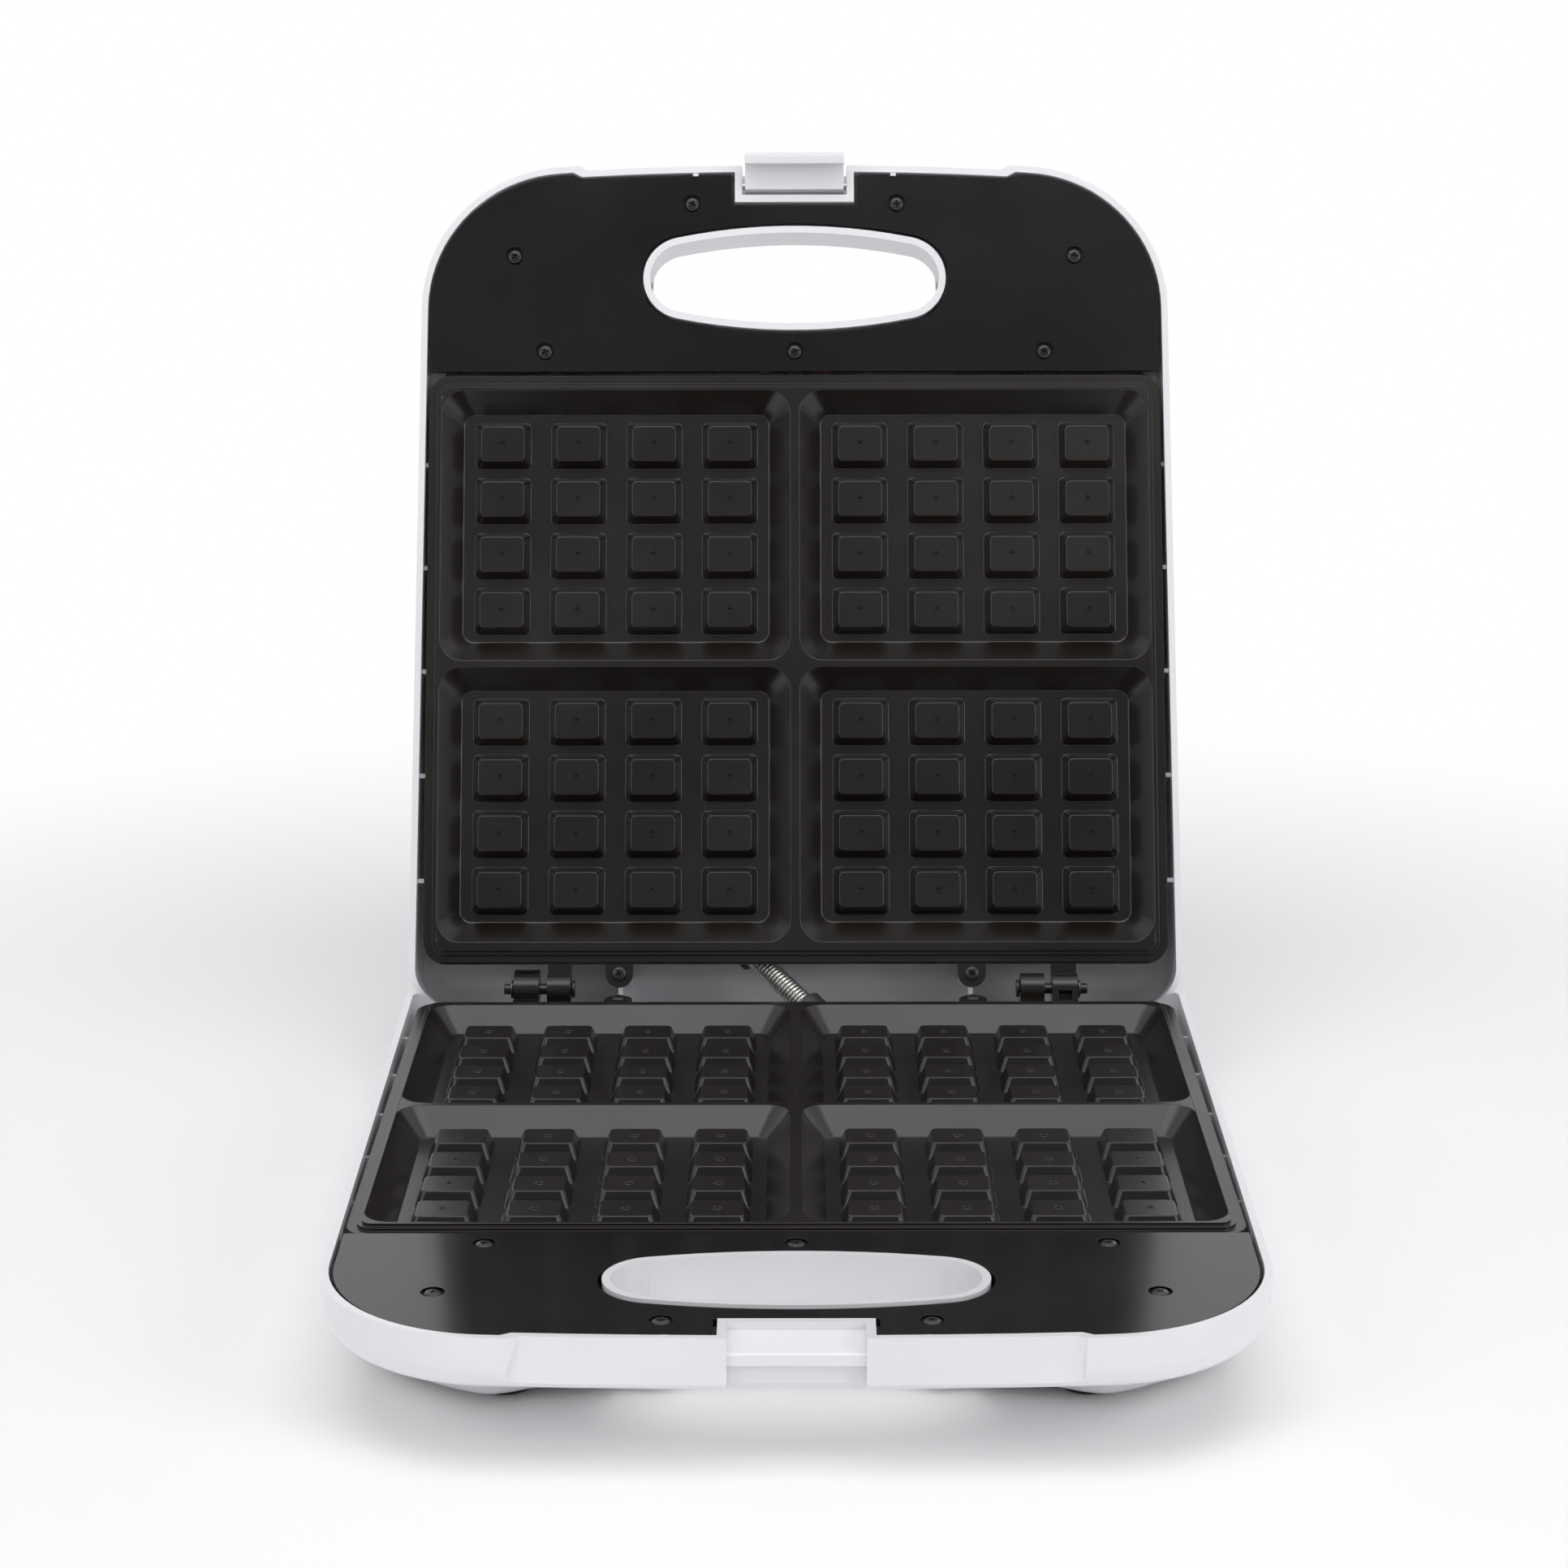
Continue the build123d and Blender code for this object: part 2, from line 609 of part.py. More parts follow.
def heating_element() -> Part:
    """Tubular heater bent to a loop under the cavities, with its two cold pins."""
    path = FilletPolyline((-TERMINAL_X, ELEMENT_REAR), (-ELEMENT_X, ELEMENT_REAR), (-ELEMENT_X, ELEMENT_FRONT),
                          (ELEMENT_X, ELEMENT_FRONT), (ELEMENT_X, ELEMENT_REAR), (TERMINAL_X, ELEMENT_REAR),
                          radius=ELEMENT_BEND)
    section = Plane(origin=(-TERMINAL_X, ELEMENT_REAR, 0), z_dir=(-1, 0, 0)) * Circle(ELEMENT_R)
    heater = Pos(0, 0, ELEMENT_Z) * sweep(section, path=path)
    reach = TERMINAL_X - TERMINAL_LENGTH
    for side in (-1, 1):
        heater += bar(side * reach, side * TERMINAL_X, ELEMENT_REAR, ELEMENT_Z, TERMINAL_R)
    return heater


def heat_reflector() -> Part:
    """Pressed sheet tray under the heater, held by two studs of the plate."""
    length = TRAY_REAR - TRAY_FRONT
    middle = (TRAY_REAR + TRAY_FRONT) / 2
    top = CASTING_UNDER - SEAT_GAP
    tray = Pos(0, middle, TRAY_FLOOR) * extrude(rounded(2 * TRAY_HALF, length, TRAY_R), amount=top - TRAY_FLOOR)
    inside = rounded(2 * (TRAY_HALF - TRAY_SHEET), length - 2 * TRAY_SHEET, TRAY_R - TRAY_SHEET)
    tray -= Pos(0, middle, TRAY_FLOOR + TRAY_SHEET) * extrude(inside, amount=TRAY_DEPTH)
    tray -= disc(0, CONTROL_Y, -FAR, FAR, CONTROL_R + CONTROL_WINDOW)
    for y in STUD_Y:
        tray -= disc(0, y, -FAR, FAR, STUD_R + HOLE_PLAY)
    return tray


def reflector_nuts() -> list:
    """Hexagon nuts on the plate's studs."""
    nuts = []
    for y in STUD_Y:
        hexagon = RegularPolygon(NUT_ACROSS / 2, 6, major_radius=False) - Circle(STUD_R + PIN_FIT)
        nuts.append(Pos(0, y, TRAY_FLOOR - NUT_THICK) * extrude(hexagon, amount=NUT_THICK))
    return nuts


def thermostat() -> Part:
    """Round snap-disc control on the seat in the middle of the plate's back, with two blades."""
    top = CASTING_UNDER - SEAT_GAP
    low = top - CONTROL_HEIGHT
    body = disc(0, CONTROL_Y, low, top, CONTROL_R)
    for side in (-1, 1):
        x = side * CONTROL_R / 2
        body += box(x - BLADE_THICK / 2, x + BLADE_THICK / 2, CONTROL_Y - BLADE_WIDTH / 2,
                    CONTROL_Y + BLADE_WIDTH / 2, low - BLADE_LENGTH, low)
    return body


# Hinge hardware

def hinge_pins() -> list:
    """Two steel pins, each with a head at its inner end and a groove for its clip."""
    pins = []
    head_face = INNER_LUG_FROM - SIDE_PLAY
    clip_at = OUTER_LUG_TO + SIDE_PLAY
    for side in (-1, 1):
        pin = bar(side * head_face, side * PIN_END, 0, 0, PIN_R)
        pin += bar(side * (head_face - PIN_HEAD), side * head_face, 0, 0, PIN_HEAD_R)
        groove = bar(side * clip_at, side * (clip_at + CLIP_THICK), 0, 0, PIN_R + 1)
        groove -= bar(side * (clip_at - 1), side * (clip_at + 2), 0, 0, PIN_R - PIN_GROOVE)
        pins.append(pin - groove)
    return pins


def hinge_clips() -> list:
    """Open spring clips in the grooves of the hinge pins."""
    clips = []
    clip_at = OUTER_LUG_TO + SIDE_PLAY
    inset = 0.05
    for side in (-1, 1):
        inner = side * (clip_at + inset)
        outer = side * (clip_at + CLIP_THICK - inset)
        clip = bar(inner, outer, 0, 0, CLIP_R)
        clip -= bar(side * (clip_at - 1), side * (clip_at + 2), 0, 0, PIN_R - PIN_GROOVE + PIN_FIT)
        mouth = PIN_R - PIN_GROOVE
        clip -= box(side * (clip_at - 1), side * (clip_at + 2), -mouth, mouth, 0, FAR)
        clips.append(clip)
    return clips


# Latch

def latch_bar(radius: float) -> Part:
    """A bar across the lid's notch that ends in its side walls."""
    reach = NOTCH_HALF + NOTCH_WALL - 1
    return bar(-reach, reach, LATCH_PIVOT_Y, LATCH_PIVOT_Z, radius)


def latch() -> Part:
    """Hook that swings from the lid and snaps under the base's lip."""
    ledge = CATCH_TOP + CATCH_SLOPE
    lip = ledge + 1 + LIP_HEIGHT
    back = -CATCH_FRONT - LATCH_GAP
    nose = back + LIP_OVERHANG - 2 * LATCH_GAP
    front = back - LATCH_ARM
    rear = LATCH_PIVOT_Y + LATCH_EYE_R
    points = [
        (rear, LATCH_PIVOT_Z),
        (rear, CATCH_TOP - LATCH_GAP),
        (back, ledge - LATCH_GAP),
        (back, lip + LATCH_GAP),
        (nose, lip + LATCH_GAP),
        (nose, lip + LATCH_NOSE),
        (back, lip + LATCH_NOSE + LATCH_TIP),
        (front + LATCH_TIP, lip + LATCH_NOSE + LATCH_TIP),
        (front, lip + LATCH_NOSE),
        (front, LATCH_PIVOT_Z + LATCH_TIP),
        (LATCH_PIVOT_Y - LATCH_EYE_R, LATCH_PIVOT_Z - LATCH_TIP),
    ]
    half = NOTCH_HALF - LATCH_SIDE_GAP
    hook = prism(points, half)
    hook += bar(-half, half, LATCH_PIVOT_Y, LATCH_PIVOT_Z, LATCH_EYE_R)
    return hook - bar(-FAR, FAR, LATCH_PIVOT_Y, LATCH_PIVOT_Z, LATCH_PIN_R + PIN_FIT)


# Conduit

def biarc(p0: Vector, t0: Vector, p1: Vector, t1: Vector) -> list:
    """Two tangent arcs between two points with given directions."""
    span = p1 - p0
    a = 2 * (t0.dot(t1) - 1)
    b = -2 * span.dot(t0 + t1)
    c = span.dot(span)
    reach = (-b - math.sqrt(b * b - 4 * a * c)) / (2 * a)
    middle = (p0 + t0 * reach + p1 - t1 * reach) * 0.5
    first = Edge.make_tangent_arc(p0, t0, middle)
    return [first, Edge.make_tangent_arc(middle, first % 1, p1)]


def conduit() -> Part:
    """Close-wound spring that leads the wires from the base to the lid."""
    start, end, along = conduit_axis()
    lead = 2 * WIRE_R
    length = (end - start).length - 2 * WIRE_R
    turns = math.floor(length / CONDUIT_PITCH)
    pitch = length / turns
    frame = Plane(origin=start + along * WIRE_R, z_dir=along)

    def point(half_turns: int) -> Vector:
        angle = half_turns * math.pi
        return frame.from_local_coords(
            Vector(CONDUIT_R * math.cos(angle), CONDUIT_R * math.sin(angle), pitch * half_turns / 2))

    def heading(half_turns: int) -> Vector:
        angle = half_turns * math.pi
        local = Vector(-CONDUIT_R * math.sin(angle), CONDUIT_R * math.cos(angle), pitch / (2 * math.pi))
        return (frame.from_local_coords(local) - frame.origin).normalized()

    edges = [Edge.make_line(point(0) - heading(0) * lead, point(0))]
    for index in range(2 * turns):
        edges += biarc(point(index), heading(index), point(index + 1), heading(index + 1))
    edges.append(Edge.make_line(point(2 * turns), point(2 * turns) + heading(2 * turns) * lead))
    path = Wire(edges)
    section = Plane(origin=edges[0] @ 0, z_dir=heading(0)) * RegularPolygon(WIRE_R, WIRE_SIDES)
    middle = [edge @ 0.5 for edge in edges[1:-1]]
    arcs = len(middle) // turns
    gap = min((a - b).length for a, b in zip(middle, middle[arcs:])) - 2 * WIRE_R
    print("conduit turns", turns, "least gap to itself", round(gap, 3))
    return sweep(section, path=path)


# Supply and lamps

def cord_gland() -> Part:
    """Bush in the rear wall where the mains lead enters."""
    inner = REAR_FACE - GLAND_FLANGE
    outer = REAR_REACH + GLAND_FLANGE
    bush = Cylinder(GLAND_R, outer - inner)
    bush += Pos(0, 0, (outer - inner) / 2 - GLAND_FLANGE / 2) * Cylinder(GLAND_FLANGE_R, GLAND_FLANGE)
    bush += Pos(0, 0, -(outer - inner) / 2 + GLAND_FLANGE / 2) * Cylinder(GLAND_FLANGE_R, GLAND_FLANGE)
    bush -= Cylinder(GLAND_BORE_R, 2 * (outer - inner))
    return Pos(GLAND_X, (inner + outer) / 2, GLAND_Z) * Rot(90, 0, 0) * bush


def terminal_block() -> Part:
    """Three-pole terminal block on the base's floor."""
    width, length, height = BLOCK_TERMINAL
    low = SHELL_FLOOR + SEAT_GAP
    rear = REAR_FACE - BELLY_EDGE_R
    block = box(BLOCK_TERMINAL_X - width / 2, BLOCK_TERMINAL_X + width / 2, rear - length, rear, low, low + height)
    for pole in (-1, 0, 1):
        x = BLOCK_TERMINAL_X + pole * POLE_PITCH
        block -= Pos(x, rear - length / 2, low + height / 3) * Rot(90, 0, 0) * Cylinder(POLE_R, FAR)
        block -= disc(x, rear - length / 2, low + height / 3, FAR, POLE_R)
    return block


def lens_back() -> float:
    """Height of the lens flange's inner face."""
    return SHELL_FLOOR + SEAT_GAP + LENS_FLANGE


def holder_post_x() -> float:
    """Place of the posts under the lamp holder."""
    return HOLDER[0] / 2 - HOLDER_POST_R


def lamp_lens(side: int) -> Part:
    """Round lens in a window of the lid, with a flange inside."""
    lens = disc(side * LAMP_X, LAMP_Y, -BODY_DEPTH - LENS_PROUD, SHELL_FLOOR + SEAT_GAP, LENS_R)
    lens = fillet(lens.edges().sort_by(Axis.Z)[:1], LENS_PROUD)
    return lens + disc(side * LAMP_X, LAMP_Y, SHELL_FLOOR + SEAT_GAP, lens_back(), LENS_FLANGE_R)


def neon_lamps() -> list:
    """Two small glow lamps lying behind their lenses."""
    lamps = []
    z = lens_back() + HOLDER[2] + SEAT_GAP
    for side in (-1, 1):
        x = side * LAMP_X
        lamps.append(disc(x, LAMP_Y, z - HOLDER[2] / 2, z + NEON_LENGTH - HOLDER[2], NEON_R))
    return lamps


def lamp_holder() -> Part:
    """Bridge that holds the lenses down and carries the lamps."""
    width, length, height = HOLDER
    low = lens_back()
    bridge = box(-width / 2, width / 2, LAMP_Y - length / 2, LAMP_Y + length / 2, low, low + height)
    for side in (-1, 1):
        bridge -= disc(side * LAMP_X, LAMP_Y, -FAR, FAR, NEON_R + HOLE_PLAY)
    return bridge


def feet_pads() -> list:
    """Rubber pads pressed into the foot bosses."""
    pads = []
    for x, y in foot_places():
        top = -BODY_DEPTH - FOOT_BOSS
        pad = disc(x, y, top - PAD_THICK, top, PAD_R)
        pad = chamfer(pad.edges().sort_by(Axis.Z)[:1], PAD_THICK / 4)
        pads.append(pad + disc(x, y, top, top + PAD_PLUG - HOLE_PLAY, PAD_PLUG_R))
    return pads


def nodes() -> dict:
    """Every piece under its node name, with the hinge axis still at the origin."""
    start, end, along = conduit_axis()
    plate = waffle_plate()
    panel = front_panel()
    base = {
        "lower_shell": lower_shell(),
        "lower_front_panel": panel,
        "lower_panel_screws": panel_screws(),
        "lower_waffle_plate": plate,
        "lower_plate_screws": plate_screws(),
        "lower_heating_element": heating_element(),
        "lower_heat_reflector": heat_reflector(),
        "lower_reflector_nuts": reflector_nuts(),
        "lower_thermostat": thermostat(),
        "rubber_feet": feet_pads(),
        "hinge_pins": hinge_pins(),
        "hinge_clips": hinge_clips(),
        "cord_gland": cord_gland(),
        "terminal_block": terminal_block(),
        "wire_conduit": conduit(),
        "lower_conduit_clamp": collar(start, along),
    }
    lid = {
        "upper_shell": upper_shell(),
        "upper_front_panel": panel,
        "upper_panel_screws": panel_screws(),
        "upper_waffle_plate": plate,
        "upper_plate_screws": plate_screws(),
        "upper_heating_element": heating_element(),
        "upper_heat_reflector": heat_reflector(),
        "upper_reflector_nuts": reflector_nuts(),
        "upper_thermostat": thermostat(),
        "power_lens": lamp_lens(-1),
        "ready_lens": lamp_lens(1),
        "lamp_holder": lamp_holder(),
        "neon_lamps": neon_lamps(),
        "latch": latch(),
        "latch_pin": latch_bar(LATCH_PIN_R),
    }
    pieces = {}
    for name, piece in base.items():
        pieces[name] = Compound(piece) if isinstance(piece, list) else piece
    for name, piece in lid.items():
        pieces[name] = place_lid(Compound(piece) if isinstance(piece, list) else piece)
    pieces["upper_conduit_clamp"] = collar(end - along * CLAMP_LENGTH, along)
    return pieces


def main() -> None:
    """Stand the machine on its feet, centred over the origin, and write each piece."""
    os.makedirs("parts", exist_ok=True)
    pieces = nodes()
    whole = Compound([pieces["lower_shell"], pieces["upper_shell"], pieces["rubber_feet"]]).bounding_box()
    shift = Pos(0, -(whole.min.Y + whole.max.Y) / 2, -whole.min.Z)
    for name, piece in pieces.items():
        export_step(shift * piece, f"parts/{name}.step")
    print("hinge axis at y", round(shift.position.Y, 4), "z", round(shift.position.Z, 4))
    print("extents", whole.size)


if __name__ == "__main__":
    main()
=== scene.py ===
"""Looks of an open sandwich and waffle maker: shells, panels, baking plates, screws and conduit."""

import json
import logging
import math
from dataclasses import dataclass
from enum import Enum
from typing import Callable

import bpy
from mathutils import Matrix, Vector

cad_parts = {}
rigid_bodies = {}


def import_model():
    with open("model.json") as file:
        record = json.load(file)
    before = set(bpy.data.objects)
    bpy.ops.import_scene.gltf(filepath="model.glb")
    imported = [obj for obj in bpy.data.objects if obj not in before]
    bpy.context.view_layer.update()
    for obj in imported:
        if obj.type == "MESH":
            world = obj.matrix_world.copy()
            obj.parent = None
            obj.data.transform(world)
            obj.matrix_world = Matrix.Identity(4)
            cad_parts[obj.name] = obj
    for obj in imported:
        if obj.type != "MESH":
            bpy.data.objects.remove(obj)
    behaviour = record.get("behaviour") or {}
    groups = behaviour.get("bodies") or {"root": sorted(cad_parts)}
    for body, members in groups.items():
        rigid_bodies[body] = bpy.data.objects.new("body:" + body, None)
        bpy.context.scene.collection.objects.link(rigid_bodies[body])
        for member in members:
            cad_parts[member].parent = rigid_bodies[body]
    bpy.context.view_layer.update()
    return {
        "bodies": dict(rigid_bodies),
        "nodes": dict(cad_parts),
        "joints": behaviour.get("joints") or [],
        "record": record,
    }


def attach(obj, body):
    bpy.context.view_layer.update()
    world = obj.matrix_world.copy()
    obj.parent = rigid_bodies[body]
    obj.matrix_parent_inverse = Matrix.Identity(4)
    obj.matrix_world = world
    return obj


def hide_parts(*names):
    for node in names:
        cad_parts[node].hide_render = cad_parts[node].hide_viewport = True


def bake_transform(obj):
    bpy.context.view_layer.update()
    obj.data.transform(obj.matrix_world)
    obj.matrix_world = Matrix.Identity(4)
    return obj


LOG = logging.getLogger("waffle_maker")
MM = 0.001
SAME_POINT = 2e-6
SAME_PLANE = math.radians(0.3)
NORMAL_WEIGHT = 60
COAT_ROUGHNESS = 0.08
DRAWN_STRETCH = (0.08, 1.0, 1.0)
PATCHES = (14.0, 5.0)
FINE_DETAIL = 3.0
SPECKS = (1600.0, 2.0)
SPECK_GAIN = 1.9
COLOUR_DRIFT = (0.35, 0.65, 0.0, 1.0)
SHEEN_DRIFT = (0.3, 0.7)
SPECK_MASK = (0.58, 0.72, 0.0, 0.35)
UPRIGHT = 0.05
FACING = 0.5


class Half(Enum):
    """The two halves of the machine, by the first word of their nodes."""

    BASE = "lower"
    LID = "upper"

    @property
    def body(self) -> str:
        """Name of the CAD body that carries this half."""
        return {Half.BASE: "base", Half.LID: "lid"}[self]


class Grain(Enum):
    """How a surface was made, which sets its fine relief."""

    MOULDED = "moulded"
    SPRAYED = "sprayed"
    DRAWN = "drawn"
    SKIN = "skin"
    CLEAR = "clear"


@dataclass(frozen=True)
class Finish:
    """One surface finish.

    Args:
        name: material name.
        slot: material slot of the record; not used.
        colour: linear base colour.
        second: linear colour that the base drifts towards in soft patches.
        grain: how the surface was made.
        rough: least and most roughness over the surface.
        metal: share of metal in the surface.
        coat: weight of the clear gloss over the colour.
        relief: height of the fine relief in metres.
        scale: grains of the fine relief to a metre.
        clear: share of light that passes through.
    """

    name: str
    slot: str
    colour: tuple[float, float, float]
    second: tuple[float, float, float]
    grain: Grain
    rough: tuple[float, float]
    metal: float = 0.0
    coat: float = 0.0
    relief: float = 0.00002
    scale: float = 900.0
    clear: float = 0.0

    def material(self) -> bpy.types.Material:
        """Build the node material of this finish, or return it if it is there.

        Returns:
            The material.
        """
        found = bpy.data.materials.get(self.name)
        if found:
            return found
        made = bpy.data.materials.new(self.name)
        made.use_nodes = True
        tree = made.node_tree
        shader = tree.nodes["Principled BSDF"]
        shader.inputs["Metallic"].default_value = self.metal
        shader.inputs["Coat Weight"].default_value = self.coat
        shader.inputs["Coat Roughness"].default_value = COAT_ROUGHNESS
        shader.inputs["Transmission Weight"].default_value = self.clear
        place = tree.nodes.new("ShaderNodeTexCoord")
        patches = self._noise(tree, place, *PATCHES)
        fine = self._noise(tree, place, self.scale, FINE_DETAIL)
        mix = tree.nodes.new("ShaderNodeMix")
        mix.data_type = "RGBA"
        mix.inputs["A"].default_value = (*self.colour, 1)
        mix.inputs["B"].default_value = (*self.second, 1)
        drift = self._range(tree, patches.outputs["Fac"], *COLOUR_DRIFT)
        tree.links.new(drift.outputs["Result"], mix.inputs["Factor"])
        colour = mix.outputs["Result"]
        if self.grain in (Grain.SPRAYED, Grain.DRAWN):
            colour = self._speckle(tree, place, colour)
        tree.links.new(colour, shader.inputs["Base Color"])
        sheen = self._range(tree, patches.outputs["Fac"], *SHEEN_DRIFT, *self.rough)
        tree.links.new(sheen.outputs["Result"], shader.inputs["Roughness"])
        bump = tree.nodes.new("ShaderNodeBump")
        bump.inputs["Distance"].default_value = self.relief
        bump.inputs["Strength"].default_value = 1.0
        tree.links.new(fine.outputs["Fac"], bump.inputs["Height"])
        tree.links.new(bump.outputs["Normal"], shader.inputs["Normal"])
        return made

    def _noise(self, tree: bpy.types.NodeTree, place: bpy.types.Node, scale: float,
               detail: float) -> bpy.types.Node:
        """Add a noise on object coordinates, stretched along X on drawn metal.

        Args:
            tree: node tree of the material.
            place: texture coordinate node.
            scale: grains to a metre.
            detail: octaves of the noise.

        Returns:
            The noise node.
        """
        stretch = tree.nodes.new("ShaderNodeMapping")
        if self.grain is Grain.DRAWN:
            stretch.inputs["Scale"].default_value = DRAWN_STRETCH
        noise = tree.nodes.new("ShaderNodeTexNoise")
        noise.inputs["Scale"].default_value = scale
        noise.inputs["Detail"].default_value = detail
        tree.links.new(place.outputs["Object"], stretch.inputs["Vector"])
        tree.links.new(stretch.outputs["Vector"], noise.inputs["Vector"])
        return noise

    @staticmethod
    def _range(tree: bpy.types.NodeTree, value: bpy.types.NodeSocket, low: float, high: float,
               to_low: float, to_high: float) -> bpy.types.Node:
        """Map a value from one range to another.

        Args:
            tree: node tree of the material.
            value: socket that gives the value.
            low: low end of the value.
            high: high end of the value.
            to_low: result at the low end.
            to_high: result at the high end.

        Returns:
            The Map Range node.
        """
        node = tree.nodes.new("ShaderNodeMapRange")
        ends = (("From Min", low), ("From Max", high), ("To Min", to_low), ("To Max", to_high))
        for name, number in ends:
            node.inputs[name].default_value = number
        tree.links.new(value, node.inputs["Value"])
        return node

    def _speckle(self, tree: bpy.types.NodeTree, place: bpy.types.Node,
                 colour: bpy.types.NodeSocket) -> bpy.types.NodeSocket:
        """Lighten the colour in the fine specks of a sprayed coat or drawn metal.

        Args:
            tree: node tree of the material.
            place: texture coordinate node.
            colour: socket that gives the colour.

        Returns:
            The socket of the speckled colour.
        """
        specks = self._noise(tree, place, *SPECKS)
        mask = self._range(tree, specks.outputs["Fac"], *SPECK_MASK)
        mix = tree.nodes.new("ShaderNodeMix")
        mix.data_type = "RGBA"
        mix.inputs["B"].default_value = (*(min(1.0, SPECK_GAIN * part) for part in self.colour), 1)
        tree.links.new(colour, mix.inputs["A"])
        tree.links.new(mask.outputs["Result"], mix.inputs["Factor"])
        return mix.outputs["Result"]


WHITE = Finish("white gloss moulding", "white_plastic",
               (0.79, 0.785, 0.81), (0.75, 0.745, 0.775), Grain.MOULDED,
               (0.16, 0.24), coat=0.25, relief=0.000004, scale=700.0)
BLACK = Finish("satin black moulding", "black_panel",
               (0.006, 0.0056, 0.0054), (0.0085, 0.008, 0.0077), Grain.MOULDED,
               (0.13, 0.2), coat=0.1, relief=0.000006, scale=1400.0)
COATING = Finish("sprayed non-stick coat", "nonstick_casting",
                 (0.0088, 0.0068, 0.0055), (0.012, 0.0096, 0.0079), Grain.SPRAYED,
                 (0.25, 0.34), coat=0.1, relief=0.00001, scale=1500.0)
SCREW = Finish("dark plated steel", "screw_steel", (0.02, 0.018, 0.016), (0.034, 0.03, 0.027),
               Grain.DRAWN, (0.25, 0.36), metal=0.3, coat=0.2, relief=0.000004, scale=1200.0)
JET = Finish("black painted steel", "dark_steel", (0.014, 0.013, 0.013), (0.022, 0.02, 0.02),
             Grain.MOULDED, (0.22, 0.34), coat=0.2, relief=0.000008, scale=1300.0)
ZINC = Finish("zinc plated steel", "bright_steel", (0.6, 0.6, 0.62), (0.5, 0.5, 0.53),
              Grain.DRAWN, (0.18, 0.32), metal=1.0, relief=0.000006, scale=1200.0)
CLIP = Finish("blackened spring steel", "dark_steel", (0.09, 0.09, 0.1), (0.14, 0.14, 0.15),
              Grain.DRAWN, (0.3, 0.45), metal=1.0, relief=0.000008, scale=1200.0)
WIRE = Finish("bright wound wire", "conduit_steel", (0.86, 0.85, 0.81), (0.74, 0.73, 0.69),
              Grain.DRAWN, (0.16, 0.26), metal=1.0, relief=0.000003, scale=1500.0)
HEATER = Finish("heat tinted tube", "heater_steel", (0.3, 0.27, 0.23), (0.2, 0.17, 0.16),
                Grain.DRAWN, (0.35, 0.5), metal=1.0, relief=0.00001, scale=1000.0)
SHEET = Finish("pressed bright sheet", "reflector_sheet", (0.74, 0.74, 0.76), (0.62, 0.62, 0.65),
               Grain.DRAWN, (0.2, 0.34), metal=1.0, relief=0.000008, scale=900.0)
CONTROL = Finish("dark resin", "control_body", (0.04, 0.03, 0.025), (0.055, 0.045, 0.035),
                 Grain.MOULDED, (0.45, 0.6), relief=0.00002, scale=1100.0)
FOOT = Finish("black foot rubber", "foot_rubber", (0.02, 0.02, 0.02), (0.03, 0.03, 0.03),
              Grain.SKIN, (0.6, 0.75), relief=0.00004, scale=1300.0)
GLAND = Finish("white flexible moulding", "gland_rubber", (0.68, 0.68, 0.7), (0.62, 0.62, 0.65),
               Grain.SKIN, (0.4, 0.55), relief=0.00002, scale=1200.0)
NYLON = Finish("natural nylon", "terminal_plastic", (0.7, 0.68, 0.62), (0.64, 0.62, 0.56),
               Grain.MOULDED, (0.35, 0.5), relief=0.00001, scale=900.0)
BLACK_NYLON = Finish("black nylon", "terminal_plastic", (0.016, 0.016, 0.017), (0.024, 0.024, 0.025),
                     Grain.MOULDED, (0.35, 0.5), relief=0.00001, scale=900.0)
RED = Finish("clear red moulding", "red_lens", (0.75, 0.03, 0.02), (0.62, 0.02, 0.015),
             Grain.CLEAR, (0.1, 0.2), relief=0.000006, scale=600.0, clear=0.5)
GREEN = Finish("clear green moulding", "green_lens", (0.05, 0.5, 0.1), (0.04, 0.42, 0.08),
               Grain.CLEAR, (0.1, 0.2), relief=0.000006, scale=600.0, clear=0.5)
GLASS = Finish("lamp glass", "lamp_glass", (0.9, 0.88, 0.85), (0.86, 0.84, 0.8),
               Grain.CLEAR, (0.03, 0.08), relief=0.000004, scale=500.0, clear=0.9)

# Parts that keep their CAD form with rounded edges: node, body, finish, edge radius.
ROUNDED_PARTS = (
    ("latch", "latch", WHITE, 0.4 * MM),
    ("latch_pin", "lid", ZINC, 0.15 * MM),
    ("rubber_feet", "base", FOOT, 0.35 * MM),
    ("hinge_pins", "base", JET, 0.25 * MM),
    ("hinge_clips", "base", CLIP, 0.12 * MM),
    ("cord_gland", "base", GLAND, 0.35 * MM),
)

# Parts that only need a finish, some of them once in each half.
PLAIN_PARTS = (
    ("terminal_block", NYLON),
    ("lamp_holder", NYLON),
    ("neon_lamps", GLASS),
    ("power_lens", RED),
    ("ready_lens", GREEN),
)
PLAIN_PAIRS = (
    ("heating_element", HEATER),
    ("heat_reflector", SHEET),
    ("reflector_nuts", ZINC),
    ("thermostat", CONTROL),
)


def start_clean() -> None:
    """Leave edit mode and select nothing."""
    if bpy.context.object and bpy.context.object.mode != "OBJECT":
        bpy.ops.object.mode_set(mode="OBJECT")
    bpy.ops.object.select_all(action="DESELECT")


def make_active(piece: bpy.types.Object) -> None:
    """Select one object alone and make it active.

    Args:
        piece: the object.
    """
    start_clean()
    piece.select_set(True)
    bpy.context.view_layer.objects.active = piece


